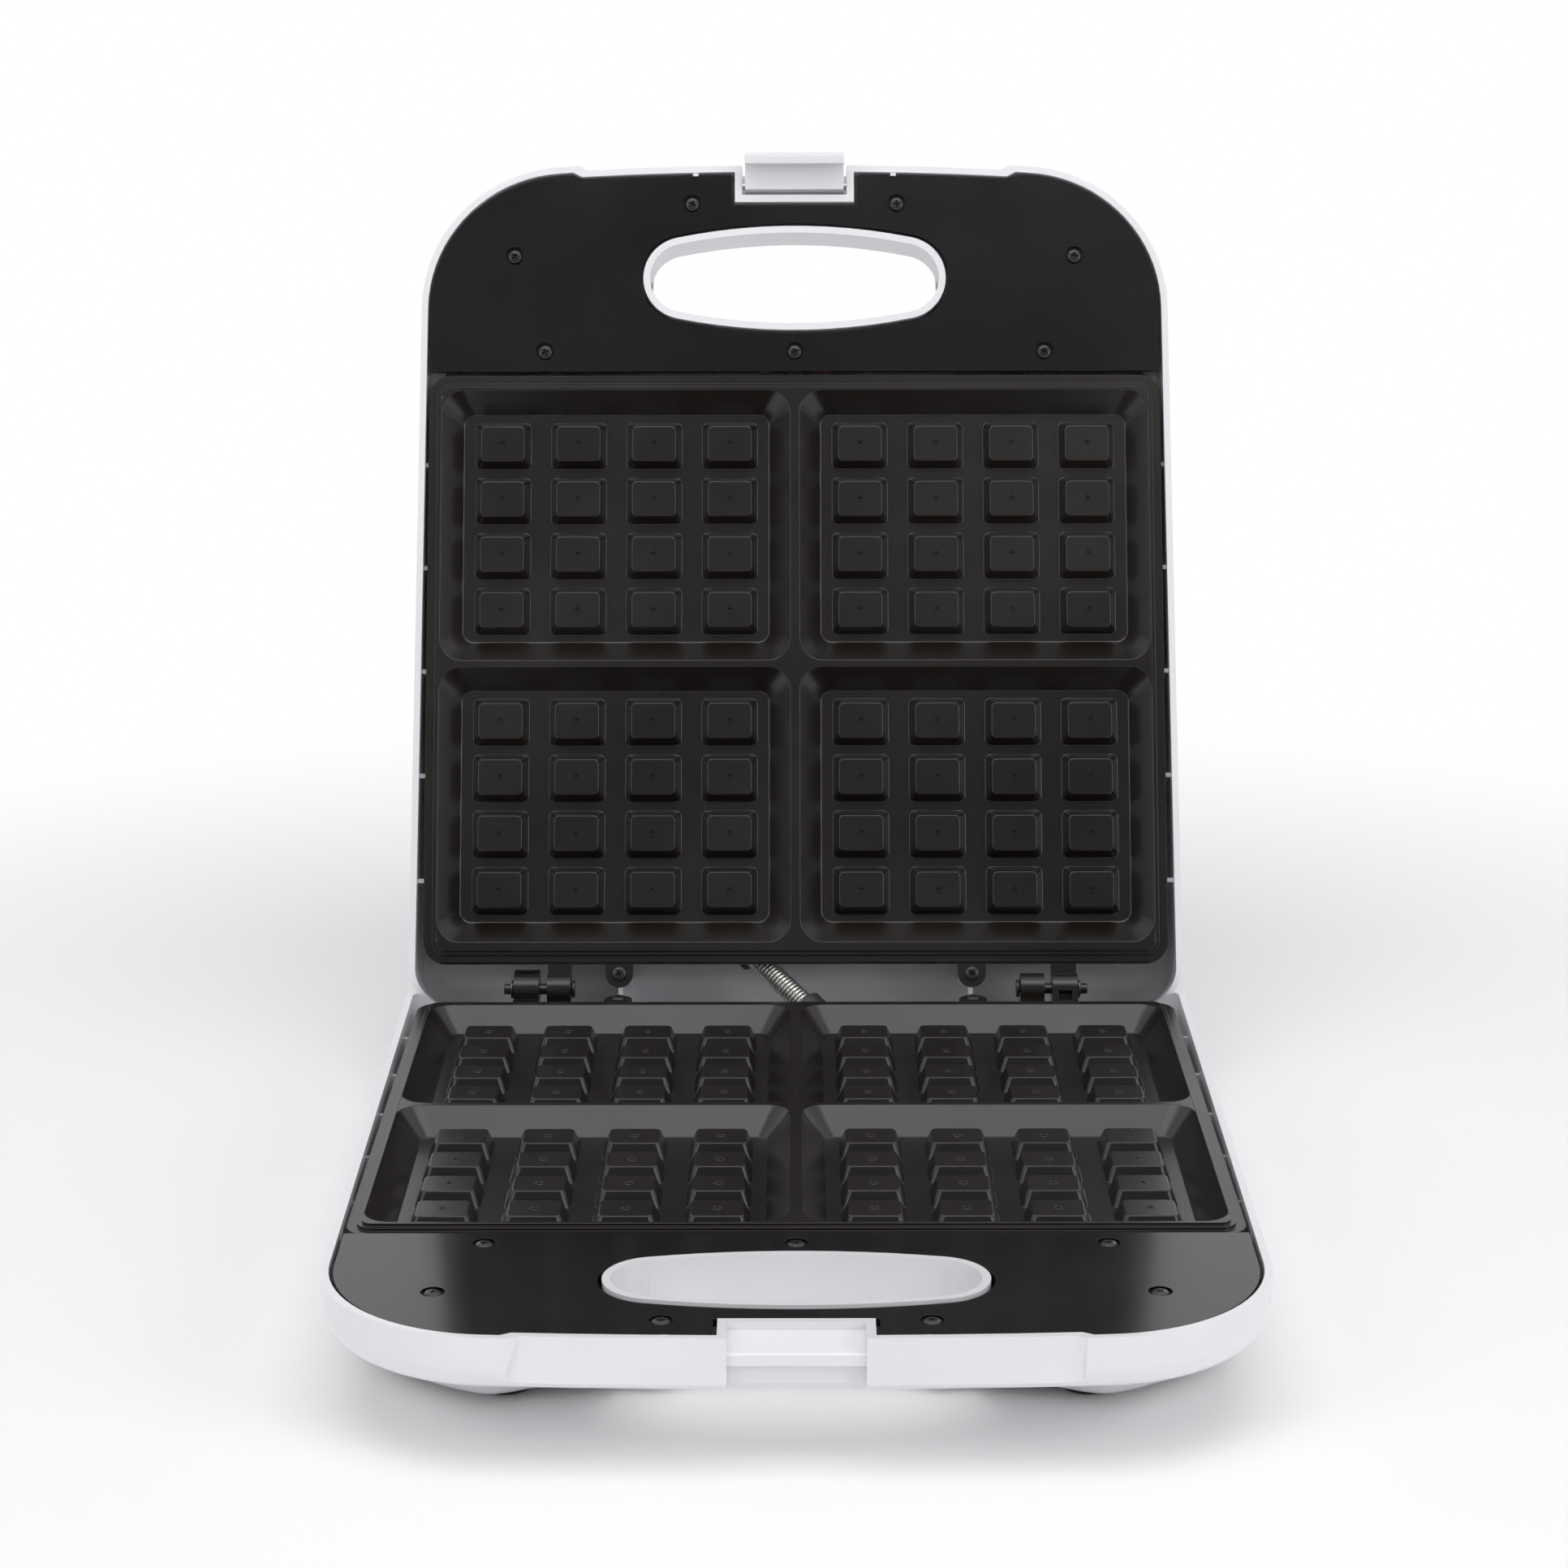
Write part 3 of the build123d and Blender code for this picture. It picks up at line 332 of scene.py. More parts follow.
def edit(piece: bpy.types.Object, kind: str) -> None:
    """Go to edit mode on one object with nothing selected.

    Args:
        piece: the object.
        kind: VERT, EDGE or FACE.
    """
    make_active(piece)
    bpy.ops.object.mode_set(mode="EDIT")
    bpy.ops.mesh.select_mode(type=kind)
    bpy.ops.mesh.select_all(action="DESELECT")


def choose(piece: bpy.types.Object, kind: str, test: Callable) -> int:
    """Select the points, edges or faces that pass a test, and stay in edit mode.

    Args:
        piece: the object.
        kind: VERT, EDGE or FACE.
        test: takes a face, a point or an edge's two points, and says whether it is wanted.

    Returns:
        How many were selected.
    """
    edit(piece, kind)
    bpy.ops.object.mode_set(mode="OBJECT")
    mesh = piece.data
    count = 0
    if kind == "FACE":
        for face in mesh.polygons:
            face.select = bool(test(face))
            count += face.select
    elif kind == "EDGE":
        for line in mesh.edges:
            a, b = (mesh.vertices[i].co for i in line.vertices)
            line.select = bool(test(a, b))
            count += line.select
    else:
        for point in mesh.vertices:
            point.select = bool(test(point.co))
            count += point.select
    bpy.ops.object.mode_set(mode="EDIT")
    return count


def done() -> None:
    """Back to object mode."""
    bpy.ops.object.mode_set(mode="OBJECT")


def apply_all(piece: bpy.types.Object) -> None:
    """Apply every modifier of a piece in its order.

    Args:
        piece: the object.
    """
    make_active(piece)
    for name in [modifier.name for modifier in piece.modifiers]:
        bpy.ops.object.modifier_apply(modifier=name)


def move_mesh(piece: bpy.types.Object, place: Matrix) -> None:
    """Put a piece at a place and apply the place to its mesh.

    Args:
        piece: the object.
        place: the matrix that moves it.
    """
    make_active(piece)
    piece.matrix_world = place @ piece.matrix_world
    bpy.context.view_layer.update()
    bpy.ops.object.transform_apply(location=True, rotation=True, scale=True)


def copy_of(piece: bpy.types.Object, name: str) -> bpy.types.Object:
    """Copy an object with a mesh of its own.

    Args:
        piece: the object.
        name: name of the copy.

    Returns:
        The copy.
    """
    twin = piece.copy()
    twin.data = piece.data.copy()
    twin.parent = None
    twin.name = name
    twin.data.name = name
    bpy.context.scene.collection.objects.link(twin)
    for key in list(twin.keys()):
        del twin[key]
    return twin


def joined(pieces: list, name: str) -> bpy.types.Object:
    """Join several objects into the first.

    Args:
        pieces: the objects.
        name: name of the joined piece.

    Returns:
        The joined piece.
    """
    start_clean()
    for piece in pieces:
        piece.select_set(True)
    bpy.context.view_layer.objects.active = pieces[0]
    if len(pieces) > 1:
        bpy.ops.object.join()
    pieces[0].name = name
    pieces[0].data.name = name
    return pieces[0]


def merged(piece: bpy.types.Object, outwards: bool) -> None:
    """Merge the doubled points of a mesh.

    Args:
        piece: the object.
        outwards: whether the faces are then turned outwards.
    """
    edit(piece, "VERT")
    bpy.ops.mesh.select_all(action="SELECT")
    bpy.ops.mesh.remove_doubles(threshold=SAME_POINT)
    if outwards:
        bpy.ops.mesh.normals_make_consistent(inside=False)
    done()


def with_large_faces(piece: bpy.types.Object) -> None:
    """Merge the doubled points of a CAD mesh and join the facets that lie in one plane.

    Args:
        piece: the object.
    """
    merged(piece, False)
    edit(piece, "FACE")
    bpy.ops.mesh.select_all(action="SELECT")
    bpy.ops.mesh.dissolve_limited(angle_limit=SAME_PLANE)
    done()


def smooth(piece: bpy.types.Object, degrees: float = 38.0) -> None:
    """Shade a piece smooth except across edges sharper than an angle.

    Args:
        piece: the object.
        degrees: the angle.
    """
    make_active(piece)
    bpy.ops.object.shade_smooth_by_angle(angle=math.radians(degrees))


def even_normals(piece: bpy.types.Object) -> None:
    """Weight the normals of a piece by face, so that large faces shade flat.

    Args:
        piece: the object.
    """
    even = piece.modifiers.new("even", "WEIGHTED_NORMAL")
    even.keep_sharp = True
    even.weight = NORMAL_WEIGHT
    apply_all(piece)


def repeat(piece: bpy.types.Object, count: int, axis: int, offset: float) -> None:
    """Add an array that repeats a piece along one axis.

    Args:
        piece: the object.
        count: how many there are in all.
        axis: 0, 1 or 2 for X, Y or Z.
        offset: distance from one to the next.
    """
    row = piece.modifiers.new("row", "ARRAY")
    row.count = count
    row.use_relative_offset = False
    row.use_constant_offset = True
    row.constant_offset_displace = [offset if i == axis else 0 for i in range(3)]


def raise_chosen(height: float) -> None:
    """Extrude what is selected straight up, or down with a negative height."""
    bpy.ops.mesh.extrude_region_move(TRANSFORM_OT_translate={"value": (0, 0, height)})


def join_sockets(tree: bpy.types.NodeTree, *pairs: tuple) -> None:
    """Link pairs of sockets in a node tree.

    Args:
        tree: the node tree.
        pairs: each an output and the input that it feeds.
    """
    for start, end in pairs:
        tree.links.new(start, end)


def round_edges(piece: bpy.types.Object, radius: float, segments: int = 2, degrees: float = 35.0) -> None:
    """Round the sharp edges of a piece with an applied bevel and even out its normals.

    Args:
        piece: the object.
        radius: width of the rounding.
        segments: facets across it.
        degrees: least angle of an edge that counts as sharp.
    """
    bevel = piece.modifiers.new("round", "BEVEL")
    bevel.width = radius
    bevel.segments = segments
    bevel.limit_method = "ANGLE"
    bevel.angle_limit = math.radians(degrees)
    bevel.use_clamp_overlap = True
    bevel.miter_outer = "MITER_ARC"
    apply_all(piece)
    smooth(piece)
    even_normals(piece)


def rounded_sheet(width: float, length: float, radius: float, centre: tuple,
                  segments: int) -> bpy.types.Object:
    """A flat face with round corners.

    Args:
        width: size along X.
        length: size along Y.
        radius: corner radius.
        centre: its middle.
        segments: facets in a corner.

    Returns:
        The new object.
    """
    start_clean()
    bpy.ops.mesh.primitive_plane_add(size=1, location=centre)
    sheet = bpy.context.object
    sheet.scale = (width, length, 1)
    bpy.ops.object.transform_apply(location=True, rotation=True, scale=True)
    edit(sheet, "VERT")
    bpy.ops.mesh.select_all(action="SELECT")
    bpy.ops.mesh.bevel(offset_type="OFFSET", offset=radius, segments=segments, affect="VERTICES")
    done()
    return sheet


def finish_piece(piece: bpy.types.Object, finish: Finish, body: str) -> bpy.types.Object:
    """Give a piece its finish, and let it ride on a body.

    Args:
        piece: the piece, its place already in its mesh.
        finish: its surface.
        body: the CAD body that it moves with.

    Returns:
        The piece.
    """
    piece.data.materials.clear()
    piece.data.materials.append(finish.material())
    for face in piece.data.polygons:
        face.material_index = 0
    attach(piece, body)
    LOG.info("%s: %d faces on %s", piece.name, len(piece.data.polygons), body)
    return piece


@dataclass(frozen=True)
class Machine:
    """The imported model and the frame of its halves.
    """

    frame: dict

    def _hinge(self) -> dict:
        """The joint between the base and the lid."""
        return next(joint for joint in self.frame["joints"] if joint["child"] == "lid")

    def place(self, half: Half) -> Matrix:
        """Where a half lies: its own frame has the hinge axis as X and the inside of the half below.

        Args:
            half: base or lid.

        Returns:
            The matrix from the half's frame to the row's.
        """
        hinge = Matrix.Translation(Vector(self._hinge()["pos_m"]))
        if half is Half.BASE:
            return hinge
        opening = math.radians(self._hinge()["range_deg"][1])
        return hinge @ Matrix.Rotation(-opening, 4, "X") @ Matrix.Rotation(math.pi, 4, "Y")

    def node(self, name: str) -> bpy.types.Object:
        """A CAD node's object."""
        return self.frame["nodes"][name]

    def dress(self, name: str, finish: Finish) -> None:
        """Give a CAD node a finish and leave its form alone.

        Args:
            name: the node.
            finish: its surface.
        """
        node = self.node(name)
        node.data.materials.clear()
        node.data.materials.append(finish.material())
        LOG.info("%s: %s", name, finish.name)

    def opened(self, name: str, half: Half) -> bpy.types.Object:
        """Copy a CAD node with large faces, in its half's frame.

        Args:
            name: the node.
            half: base or lid.

        Returns:
            The copy.
        """
        piece = copy_of(self.node(name), name + "_moulding")
        with_large_faces(piece)
        move_mesh(piece, self.place(half).inverted())
        return piece

    def stand_in(self, piece: bpy.types.Object, name: str, half: Half) -> None:
        """Put a piece back from its half's frame in the place of a CAD node."""
        move_mesh(piece, self.place(half))
        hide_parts(name)

    def softened(self, name: str, body: str, finish: Finish, radius: float) -> bpy.types.Object:
        """Stand in for a CAD node with the same form and rounded edges.

        Args:
            name: the node.
            body: the body that it rides on.
            finish: its surface.
            radius: edge radius.

        Returns:
            The new piece.
        """
        piece = copy_of(self.node(name), name + "_moulding")
        with_large_faces(piece)
        round_edges(piece, radius)
        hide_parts(name)
        return finish_piece(piece, finish, body)


@dataclass
class Plate:
    """A cast baking plate, in the half's frame.

    Args:
        half_width: half the plate's width.
        rear: rear edge.
        front: front edge.
        corner: radius of the plate's corners.
        corner_facets: facets in each rounded corner.
        flange: lower and upper height of the flange.
        flange_width: its width.
        step_width: width of the step inside the flange.
        step_top: height of the step.
        crest: height of the lands between the cavities.
        under: height of the underside of the cavities' tubs.
        tub_slack: how much thinner the tubs' sides are than their floors.
        cavity_x: inner and outer side of a cavity.
        cavity_rear: rear rim of the rear cavities.
        cavity_length: length of a cavity at its rim.
        land: width of the land between rear and front cavities.
        slope: run of a cavity's sloped wall.
        floor: height of the cavities' floor.
        rim_radius: corner radius of the rim.
        floor_radius: corner radius of the floor.
        floor_edge: rounding where the walls meet the floor.
        rim_edge: rounding of the other edges.
        block: width and length of a block at its foot.
        block_corner: corner radius of the flared foot.
        block_facets: facets in a corner, and cuts in a side.
        block_slope: how far a block's side leans in.
        block_height: its height over the floor.
        block_sunk: how far it starts under the floor.
        flare: how far the foot spreads, and how much of that lies in its first step.
        foot: height of the flared foot, and of its two first steps.
        top_edge: height of the rounded top edge.
        top_steps: inset and rise of each step of the top edge.
        dimple_start: size of the ring first drawn on the top, as a share of the top.
        rings: reach of each ring of the dimple and its rise from the ring before.
        pitch: distance between blocks along X and Y.
        blocks: blocks in a row.
        sharp: least angle in degrees of an edge that counts as sharp.
        lug_root: how far inside the rear edge the hinge lugs are cut off.
        lug_reach: how far a part passes the rear edge to count as a lug.
        lug_edge: rounding of the lugs' edges.
    """

    half_width: float = 140.6 * MM
    rear: float = -9.5 * MM
    front: float = -236.3 * MM
    corner: float = 8.5 * MM
    corner_facets: int = 6
    flange: tuple[float, float] = (-4.8 * MM, -2.2 * MM)
    flange_width: float = 3.3 * MM
    step_width: float = 1.5 * MM
    step_top: float = -1.2 * MM
    crest: float = -0.25 * MM
    under: float = -11.7 * MM
    tub_slack: float = 0.1 * MM
    cavity_x: tuple[float, float] = (1.8 * MM, 135.5 * MM)
    cavity_rear: float = -17.7 * MM
    cavity_length: float = 104.9 * MM
    land: float = 2.6 * MM
    slope: float = 8.0 * MM
    floor: float = -9.1 * MM
    rim_radius: float = 8.5 * MM
    floor_radius: float = 4.5 * MM
    floor_edge: float = 0.6 * MM
    rim_edge: float = 0.4 * MM
    block: tuple[float, float] = (20.9 * MM, 17.7 * MM)
    block_corner: float = 2.3 * MM
    block_facets: int = 3
    block_slope: float = 2.15 * MM
    block_height: float = 5.3 * MM
    block_sunk: float = 0.1 * MM
    flare: tuple[float, float] = (0.32 * MM, 0.2 * MM)
    foot: tuple[float, float, float] = (0.35 * MM, 0.02 * MM, 0.08 * MM)
    top_edge: float = 0.42 * MM
    top_steps: tuple = (
        (0.12 * MM, 0.22 * MM), (0.16 * MM, 0.14 * MM), (0.22 * MM, 0.06 * MM), (0.3 * MM, 0.0),
    )
    dimple_start: float = 0.3
    rings: tuple = (
        (1.55 * MM, 0.0), (1.42 * MM, 0.14 * MM), (1.28 * MM, 0.0), (1.15 * MM, -0.2 * MM),
        (0.72 * MM, 0.0), (0.5 * MM, -0.7 * MM),
    )
    pitch: tuple[float, float] = (29.085 * MM, 21.556 * MM)
    blocks: int = 4
    sharp: float = 30
    lug_root: float = 0.9 * MM
    lug_reach: float = 0.05 * MM
    lug_edge: float = 0.35 * MM

    def _cavity(self, grow: float, top: float, floor: float) -> bpy.types.Object:
        """The skin of one cavity, with its rim open.

        Args:
            grow: how much larger than the cavity it is on each side.
            top: height of the rim.
            floor: height of the floor.

        Returns:
            The skin, for the rear cavity on the right.
        """
        width = self.cavity_x[1] - self.cavity_x[0] + 2 * grow
        length = self.cavity_length + 2 * grow
        slope = self.slope * (top - floor) / (self.crest - self.floor)
        x = sum(self.cavity_x) / 2
        y = self.cavity_rear - self.cavity_length / 2
        rim = rounded_sheet(width, length, self.rim_radius, (x, y, top), self.corner_facets)
        low = rounded_sheet(width - 2 * slope, length - 2 * slope, self.floor_radius, (x, y, floor),
                            self.corner_facets)
        skin = joined([rim, low], "cavity")
        edit(skin, "FACE")
        bpy.ops.mesh.select_all(action="SELECT")
        bpy.ops.mesh.delete(type="ONLY_FACE")
        bpy.ops.mesh.select_mode(type="EDGE")
        bpy.ops.mesh.select_all(action="SELECT")
        bpy.ops.mesh.bridge_edge_loops()
        choose(skin, "EDGE", lambda a, b: max(a.z, b.z) < floor + SAME_POINT)
        bpy.ops.mesh.edge_face_add()
        done()
        return skin

    def _four(self, skin: bpy.types.Object, name: str) -> bpy.types.Object:
        """Repeat what lies at the rear right cavity at all four.

        Args:
            skin: what lies there.
            name: name of the four together.

        Returns:
            The same object with the other three added.
        """
        repeat(skin, 2, 1, -self.cavity_length - self.land)
        repeat(skin, 2, 0, -sum(self.cavity_x))
        apply_all(skin)
        skin.name = name
        return skin

    def _deck(self) -> bpy.types.Object:
        """The plate's stepped edge, open at its top and underside.

        Returns:
            The edge as one strip of faces.
        """
        middle = (self.rear + self.front) / 2
        deck = rounded_sheet(2 * self.half_width, self.rear - self.front, self.corner,
                             (0, middle, self.flange[0]), self.corner_facets)
        edit(deck, "FACE")
        bpy.ops.mesh.select_all(action="SELECT")
        raise_chosen(self.flange[1] - self.flange[0])
        levels = (
            (self.flange_width, self.step_top - self.flange[1]),
            (self.step_width, self.crest - self.step_top),
        )
        for inset, height in levels:
            bpy.ops.mesh.inset(thickness=inset, depth=0)
            raise_chosen(height)
        bpy.ops.mesh.delete(type="ONLY_FACE")
        choose(deck, "FACE", lambda face: len(face.vertices) > 4)
        bpy.ops.mesh.delete(type="ONLY_FACE")
        done()
        return deck

    def _fill(self, body: bpy.types.Object, height: float) -> None:
        """Fill the flat face between the outline and the four rims at one height.

        Args:
            body: the casting, open at that height.
            height: where the face lies.
        """
        links: dict[tuple, int] = {}
        for face in body.data.polygons:
            for key in face.edge_keys:
                links[key] = links.get(key, 0) + 1
        points = body.data.vertices
        level = {key for key in (tuple(sorted(line.vertices)) for line in body.data.edges)
                 if links.get(key, 0) < 2 and all(abs(points[i].co.z - height) < SAME_POINT for i in key)}
        edit(body, "EDGE")
        done()
        for line in body.data.edges:
            line.select = tuple(sorted(line.vertices)) in level
        bpy.ops.object.mode_set(mode="EDIT")
        bpy.ops.mesh.fill(use_beauty=True)
        done()

    def _casting(self) -> bpy.types.Object:
        """The plate's body: stepped edge, four cavities and the tubs under them.

        Returns:
            The closed body.
        """
        wall = (self.floor - self.under) / 2 - self.tub_slack
        cavities = self._four(self._cavity(0, self.crest, self.floor), "cavities")
        tubs = self._four(self._cavity(wall, self.flange[0], self.under), "tubs")
        body = joined([self._deck(), cavities, tubs], "casting")
        merged(body, False)
        self._fill(body, self.crest)
        self._fill(body, self.flange[0])
        merged(body, True)
        above = self.floor + SAME_POINT
        below = self.floor - SAME_POINT
        choose(body, "EDGE", lambda a, b: below < a.z < above and below < b.z < above)
        bpy.ops.mesh.bevel(offset=self.floor_edge, segments=2, affect="EDGES")
        done()
        round_edges(body, self.rim_edge, 3, self.sharp)
        return body

    def _block(self) -> bpy.types.Object:
        """One raised block with a flared foot, rounded top edge and a centre dimple.

        Returns:
            The rear right cavity's first block, open underneath.
        """
        from_middle = (self.blocks - 1) / 2
        x = sum(self.cavity_x) / 2 - from_middle * self.pitch[0]
        y = self.cavity_rear - self.cavity_length / 2 - from_middle * self.pitch[1]
        spread, first = self.flare
        foot, lift, curl = self.foot
        width, length = (side + 2 * spread for side in self.block)
        form = rounded_sheet(width, length, self.block_corner, (x, y, self.floor - self.block_sunk),
                             self.block_facets)
        choose(form, "EDGE", lambda a, b: (a - b).length > self.block_corner * 3)
        bpy.ops.mesh.subdivide(number_cuts=self.block_facets)
        choose(form, "FACE", lambda face: True)
        rise = self.block_height - foot - self.top_edge
        lean = self.block_slope * rise / self.block_height
        foot_steps = ((0.0, self.block_sunk + lift), (first, curl), (spread - first, foot - lift - curl))
        for inset, height in (*foot_steps, (lean, rise), *self.top_steps):
            raise_chosen(height)
            shrink = tuple((part - 2 * inset) / part for part in self._chosen_size(form))
            bpy.ops.transform.resize(value=(*shrink, 1), center_override=(x, y, 0))
        raise_chosen(0)
        bpy.ops.transform.resize(value=(self.dimple_start, self.dimple_start, 1), center_override=(x, y, 0))
        bpy.ops.transform.tosphere(value=1)
        for index, (reach, depth) in enumerate(self.rings):
            if index:
                raise_chosen(depth)
            grow = 2 * reach / max(self._chosen_size(form))
            bpy.ops.transform.resize(value=(grow, grow, 1), center_override=(x, y, 0))
        done()
        merged(form, True)
        return form

    @staticmethod
    def _chosen_size(piece: bpy.types.Object) -> tuple[float, float]:
        """Width and length of what is selected, staying in edit mode.

        Args:
            piece: the object, in edit mode.

        Returns:
            The two sizes.
        """
        piece.update_from_editmode()
        points = [point.co for point in piece.data.vertices if point.select]
        spans = [max(p[i] for p in points) - min(p[i] for p in points) for i in (0, 1)]
        return spans[0], spans[1]

    def _all_blocks(self) -> bpy.types.Object:
        """The sixteen blocks of each of the four cavities.

        Returns:
            All the blocks as one object.
        """
        form = self._block()
        for axis in (0, 1):
            repeat(form, self.blocks, axis, self.pitch[axis])
        apply_all(form)
        blocks = self._four(form, "blocks")
        smooth(blocks, self.sharp)
        even_normals(blocks)
        return blocks

    def _lugs(self, machine: Machine) -> bpy.types.Object:
        """Hinge lugs and screw tabs, taken from the rear of the CAD casting.

        Args:
            machine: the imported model.

        Returns:
            The lugs and tabs, each closed where it was cut off.
        """
        lugs = copy_of(machine.node("lower_waffle_plate"), "lugs")
        merged(lugs, False)
        move_mesh(lugs, machine.place(Half.BASE).inverted())
        edit(lugs, "FACE")
        bpy.ops.mesh.select_all(action="SELECT")
        bpy.ops.mesh.bisect(plane_co=(0, self.rear - self.lug_root, 0), plane_no=(0, 1, 0), use_fill=True,
                            clear_inner=True)
        bpy.ops.mesh.select_all(action="DESELECT")
        done()
        kept = self._loose_parts(lugs, self.rear + self.lug_reach)
        edit(lugs, "VERT")
        done()
        for point in lugs.data.vertices:
            point.select = point.index not in kept
        bpy.ops.object.mode_set(mode="EDIT")
        bpy.ops.mesh.delete(type="VERT")
        bpy.ops.mesh.select_all(action="SELECT")
        bpy.ops.mesh.dissolve_limited(angle_limit=SAME_PLANE)
        done()
        round_edges(lugs, self.lug_edge)
        return lugs

    @staticmethod
    def _loose_parts(piece: bpy.types.Object, reach: float) -> set[int]:
        """Points of the loose parts that reach past a height in Y.

        Args:
            piece: the object.
            reach: the Y that a part has to pass.

        Returns:
            The indices of their points.
        """
        links: dict[int, list[int]] = {}
        for line in piece.data.edges:
            a, b = line.vertices
            links.setdefault(a, []).append(b)
            links.setdefault(b, []).append(a)
        seen: set[int] = set()
        kept: set[int] = set()
        for start in range(len(piece.data.vertices)):
            if start in seen:
                continue
            part, todo = {start}, [start]
            while todo:
                for other in links.get(todo.pop(), []):
                    if other not in part:
                        part.add(other)
                        todo.append(other)
            seen |= part
            if max(piece.data.vertices[i].co.y for i in part) > reach:
                kept |= part
        return kept

    def build(self, machine: Machine) -> list:
        """Model the plate once and set a copy in each half.

        Args:
            machine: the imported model.

        Returns:
            The two plates.
        """
        master = joined([self._casting(), self._all_blocks(), self._lugs(machine)], "plate_master")
        plates = []
        for half in Half:
            plate = copy_of(master, f"{half.value}_plate_casting")
            move_mesh(plate, machine.place(half))
            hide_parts(f"{half.value}_waffle_plate")
            plates.append(finish_piece(plate, COATING, half.body))
        bpy.data.objects.remove(master)
        return plates


@dataclass
class Screws:
    """Pan-head screws with a cross recess, in the half's frame.

    Args:
        head_radius: radius of the head.
        head_height: height of the head.
        rim: share of the height that its straight rim takes.
        crown: share of the radius and rise of each step of its crown.
        arm: length, width and depth of an arm of the recess.
        arm_taper: size of the arm's bottom as a share of its top.
        facets: facets around the head.
        sharp: least angle in degrees of an edge that counts as sharp.
        shank_radius: radius of the shank.
        shank_length: its length.
        panel_seat: height of the seats in the panels.
        panel_pairs: places of the screws at the right of a panel, in millimetres.
        panel_centre: Y of the panel's middle screw, in millimetres.
        tab_seat: height of the seats on the plate's tabs.
        tab: place of the screw in the right tab, in millimetres.
        turns: angle of the first screw's recess, and from each screw to the next.
    """

    head_radius: float = 2.75 * MM
    head_height: float = 1.5 * MM
    rim: float = 0.5
    crown: tuple = ((0.93, 0.22), (0.8, 0.16), (0.55, 0.1))
    arm: tuple = (3.5 * MM, 0.95 * MM, 2.2 * MM)
    arm_taper: tuple = (0.5, 0.3, 1)
    facets: int = 32
    sharp: float = 32
    shank_radius: float = 1.45 * MM
    shank_length: float = 9.0 * MM
    panel_seat: float = -2.4 * MM
    panel_pairs: tuple = ((39.5, -303.7), (108.0, -283.0), (96.0, -245.3))
    panel_centre: float = -245.3
    tab_seat: float = -2.2 * MM
    tab: tuple = (66.5, -5.9)
    turns: tuple = (20, 37)

    def _cross(self) -> bpy.types.Object:
        """The tapered cross that is sunk into a head.

        Returns:
            The cross, its middle at the head's top.
        """
        arms = []
        for turn in (0.0, math.pi / 2):
            start_clean()
            bpy.ops.mesh.primitive_cube_add(size=1, location=(0, 0, self.head_height))
            arm = bpy.context.object
            arm.scale = self.arm
            bpy.ops.object.transform_apply(location=True, rotation=True, scale=True)
            choose(arm, "FACE", lambda face: face.normal.z < -FACING)
            bpy.ops.transform.resize(value=self.arm_taper, center_override=(0, 0, 0))
            bpy.ops.mesh.select_all(action="SELECT")
            bpy.ops.transform.rotate(value=turn, orient_axis="Z", center_override=(0, 0, 0))
            done()
            arms.append(arm)
        union = arms[0].modifiers.new("both", "BOOLEAN")
        union.operation = "UNION"
        union.object = arms[1]
        apply_all(arms[0])
        bpy.data.objects.remove(arms[1])
        return arms[0]

    def _screw(self) -> bpy.types.Object:
        """One screw, its seat at the origin.

        Returns:
            The screw.
        """
        start_clean()
        rim = self.head_height * self.rim
        bpy.ops.mesh.primitive_cylinder_add(vertices=self.facets, radius=self.head_radius, depth=rim,
                                            location=(0, 0, rim / 2))
        screw = bpy.context.object
        bpy.ops.object.transform_apply(location=True, rotation=True, scale=True)
        choose(screw, "FACE", lambda face: face.normal.z > FACING)
        for share, height in self.crown:
            raise_chosen(self.head_height * height)
            shrink = share * self.head_radius / self._reach(screw)
            bpy.ops.transform.resize(value=(shrink, shrink, 1), center_override=(0, 0, 0))
        choose(screw, "FACE", lambda face: face.normal.z < -FACING)
        bpy.ops.mesh.inset(thickness=self.head_radius - self.shank_radius, depth=0)
        raise_chosen(-self.shank_length)
        done()
        cross = self._cross()
        cut = screw.modifiers.new("recess", "BOOLEAN")
        cut.operation = "DIFFERENCE"
        cut.object = cross
        apply_all(screw)
        bpy.data.objects.remove(cross)
        smooth(screw, self.sharp)
        return screw

    @staticmethod
    def _reach(piece: bpy.types.Object) -> float:
        """Radius of the selected points about the Z axis."""
        piece.update_from_editmode()
        return max(math.hypot(point.co.x, point.co.y) for point in piece.data.vertices if point.select)

    def build(self, machine: Machine) -> list:
        """Model one screw and set its copies in both halves.

        Args:
            machine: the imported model.

        Returns:
            The four groups of screws.
        """
        master = self._screw()
        panel = [(0.0, self.panel_centre)]
        for x, y in self.panel_pairs:
            panel += [(x, y), (-x, y)]
        tabs = [self.tab, (-self.tab[0], self.tab[1])]
        first, after = self.turns
        groups = []
        for half in Half:
            for kind, places, seat in (("panel", panel, self.panel_seat), ("plate", tabs, self.tab_seat)):
                copies = []
                for index, (x, y) in enumerate(places):
                    one = copy_of(master, f"screw_{index}")
                    turn = Matrix.Rotation(math.radians(first + after * index), 4, "Z")
                    at = Matrix.Translation((x * MM, y * MM, seat))
                    move_mesh(one, machine.place(half) @ at @ turn)
                    copies.append(one)
                group = joined(copies, f"{half.value}_{kind}_cross_screws")
                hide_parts(f"{half.value}_{kind}_screws")
                groups.append(finish_piece(group, SCREW, half.body))
        bpy.data.objects.remove(master)
        return groups


